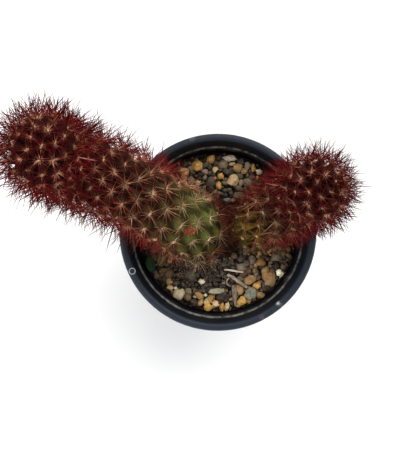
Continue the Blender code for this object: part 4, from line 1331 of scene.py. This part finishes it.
def blade(node, slot, material, length, width, place, turn, tilt, curl):
    """A small ovate leaf with a folded middle, side veins and a wavy edge."""
    rows, half_columns = 26, 7
    columns = 2 * half_columns + 1
    points, veins, faces = [], [], []
    for k in range(rows + 1):
        share = k / rows
        half = 0.5 * width * (sin(pi * min(1.0, share * 0.93 + 0.07)) ** 0.8 + 0.06)
        for j in range(-half_columns, half_columns + 1):
            aside = j / half_columns
            wave = 0.1 * sin(9.0 * share + 2.0 * aside) * abs(aside)
            rib = abs(sin(7.0 * pi * (share - 0.35 * abs(aside))))
            vein = max(1.0 - 5.0 * abs(aside), (1.0 - 4.0 * rib) * 0.6, 0.0)
            rise = -curl * share * share + 0.18 * abs(aside) * half + wave + 0.05 * vein
            points.append(((share - 0.5) * length, aside * half, rise))
            veins.append(vein)
    for k in range(rows):
        for a in range(k * columns, (k + 1) * columns - 1):
            faces.append((a, a + columns, a + columns + 1, a + 1))
    thing = add_piece(f"{node}_fine", points, faces, material, vein=veins)
    modify(thing, "SOLIDIFY", thickness=LEAF_THICKNESS * MM, offset=0.0)
    apply_modifiers(thing)
    face_outwards(thing)
    lean = Euler((radians(tilt), 0.0, radians(turn))).to_matrix().to_4x4()
    thing.data.transform(Matrix.Translation(Vector((*place, 0.0)) * MM) @ lean)
    heights = [vertex.co.z / MM for vertex in thing.data.vertices]
    lift = middle_height(node) - 0.5 * (min(heights) + max(heights))
    thing.data.transform(Matrix.Translation((0.0, 0.0, lift * MM)))
    thing.data.shade_smooth()
    declare(thing, slot, node)


def make_bits():
    # Path, radii along it, rings, sides and knobbliness
    tan_path = ((4.6, -19.8, 0.0), (7.4, -21.0, -0.2), (10.6, -23.6, 0.0), (13.9, -25.9, 0.0))
    pale_path = ((3.2, -17.6, 0.0), (6.0, -17.4, 0.0), (8.6, -18.4, 0.0), (12.0, -18.6, 0.0))
    root_path = ((5.6, -21.4, 0.0), (3.6, -22.2, 0.0), (4.0, -25.0, 0.0), (6.2, -25.2, 0.0))
    rough_tube("twig_tan", "dry_twig", "twig", tan_path, (0.6, 0.8, 0.76, 0.6), 40, 20, 0.5)
    rough_tube("twig_pale", "pale_twig", "pale_twig", pale_path, (0.3, 0.45, 0.44, 0.4), 34, 16, 0.3)
    rough_tube("rootlet", "dry_twig", "twig", root_path, (0.22, 0.3, 0.26, 0.16), 34, 14, 0.5)
    # Outline, thickness, place, turn in degrees and stretch of the grain
    grey = ((-3.9, -0.8), (-1.5, -1.4), (2.6, -1.3), (4.0, -0.4), (3.6, 1.0), (0.4, 1.3), (-3.2, 1.1))
    narrow = ((-1.2, 5.2), (1.1, 5.4), (1.4, 2.0), (0.8, -2.5), (0.3, -5.4), (-0.3, -5.2), (-1.0, -0.5))
    chip = ((-2.3, -2.6), (0.4, -3.2), (2.6, -1.6), (2.9, 1.2), (1.1, 3.2), (-1.6, 2.9), (-2.9, 0.2))
    flake("bark_grey", "grey_bark", "grey_bark", grey, 1.3, (-0.5, -27.4), 3.0, (0.5, 3.2))
    flake("bark_blade", "grey_bark", "blade_bark", narrow, 1.0, (8.0, -29.6), 4.0, (3.0, 0.5))
    flake("chip_pale", "grey_chip", "grey_chip", chip, 1.7, (15.6, -28.6), -12.0, (1.2, 1.6))
    # Length, width, place, turn and tilt in degrees, and curl
    blade("leaf_green", "green_leaf", "leaf", 7.6, 4.4, (-31.4, -14.6), 100.0, 14.0, 0.7)
    blade("leaf_olive", "olive_leaf", "olive", 5.4, 4.4, (-25.9, -13.2), 60.0, -6.0, 0.4)
    blade("leaf_scrap", "olive_leaf", "olive", 4.2, 2.4, (-25.4, -17.9), 20.0, 8.0, 0.3)


# Stage
def make_stage():
    scene = bpy.context.scene
    mesh = bpy.data.meshes.new("floor")
    corners = [(x * FLOOR_HALF, y * FLOOR_HALF, 0.0) for x, y in ((-1, -1), (1, -1), (1, 1), (-1, 1))]
    mesh.from_pydata(corners, [], [(0, 1, 2, 3)])
    mesh.materials.append(MATERIALS["floor"])
    add_object("floor", mesh)

    # Sky: bright all round and dimmer straight above
    scene.world = bpy.data.worlds.new("studio")
    sky = Nodes(scene.world)
    upwards = sky.node("SeparateXYZ", {"Vector": sky.node("TexCoord").outputs["Generated"]}).outputs["Z"]
    background = sky.tree.nodes["Background"].inputs
    sky.give(background["Color"], sky.ramp(upwards, (0.45, 1.0), (0.97, 0.30)))
    sky.give(background["Strength"], SKY_STRENGTH)

    # Soft lights: place and size in metres, power and colour
    for name, place, size, power, tone in (
        ("key", (0.35, 0.85, 1.15), 1.3, 18.0, (1.0, 0.985, 0.96)),
        ("fill", (-0.9, -0.5, 0.9), 0.9, 6.0, (0.95, 0.97, 1.0)),
    ):
        light = bpy.data.lights.new(name, "AREA")
        light.size, light.energy, light.color = size, power, tone
        lamp = add_object(name, light)
        lamp.location = place
        aim = Vector((-0.01, 0.005, 0.08)) - Vector(place)
        lamp.rotation_euler = aim.to_track_quat("-Z", "Y").to_euler()

    camera = bpy.data.cameras.new("camera")
    camera.sensor_fit = "HORIZONTAL"
    camera.sensor_width = SENSOR_WIDTH
    camera.lens = LENS
    camera.clip_start = 0.01
    scene.camera = add_object("camera", camera)
    scene.camera.location = [c * MM for c in CAMERA_PLACE]
    scene.view_settings.view_transform = "Standard"


MATERIALS = {
    "pot": pot_plastic(),
    "ring": mark_highlight_plastic(),
    "soil": soil_dark(),
    "pebble": pebble_stone(),
    "flesh": stem_flesh(),
    "spine": spine_horn(),
    "wool": areole_wool(),
    "twig": dry_wood("twig_bark", (0.20, 0.14, 0.085), (0.52, 0.42, 0.29), (0.5, 0.5, 1.0)),
    "pale_twig": dry_wood("twig_straw", (0.42, 0.35, 0.25), (0.80, 0.73, 0.60), (0.3, 1.6, 1.6)),
    "grey_bark": dry_wood("bark_weathered", (0.15, 0.14, 0.085), (0.46, 0.43, 0.29), (0.35, 2.0, 1.0)),
    "blade_bark": dry_wood("bark_dark", (0.060, 0.046, 0.035), (0.33, 0.26, 0.19), (2.0, 0.35, 1.0)),
    "grey_chip": dry_wood("chip_weathered", (0.115, 0.108, 0.078), (0.36, 0.34, 0.25), (1.0, 1.0, 1.0)),
    # The green leaf is dark green, and is painted darker still as painted shade for its place by the pot's
    # wall.
    "leaf": leaf_skin("leaf_green", (0.005, 0.022, 0.007), (0.015, 0.055, 0.016), (0.03, 0.07, 0.022)),
    "olive": leaf_skin("leaf_olive", (0.040, 0.026, 0.008), (0.135, 0.088, 0.026), (0.16, 0.115, 0.045)),
    "floor": pale_floor(),
}

make_stage()
make_pot()
make_mark()
make_soil()
make_gravel()
make_bud(make_stem(LEFT))
make_stem(RIGHT)
make_bits()
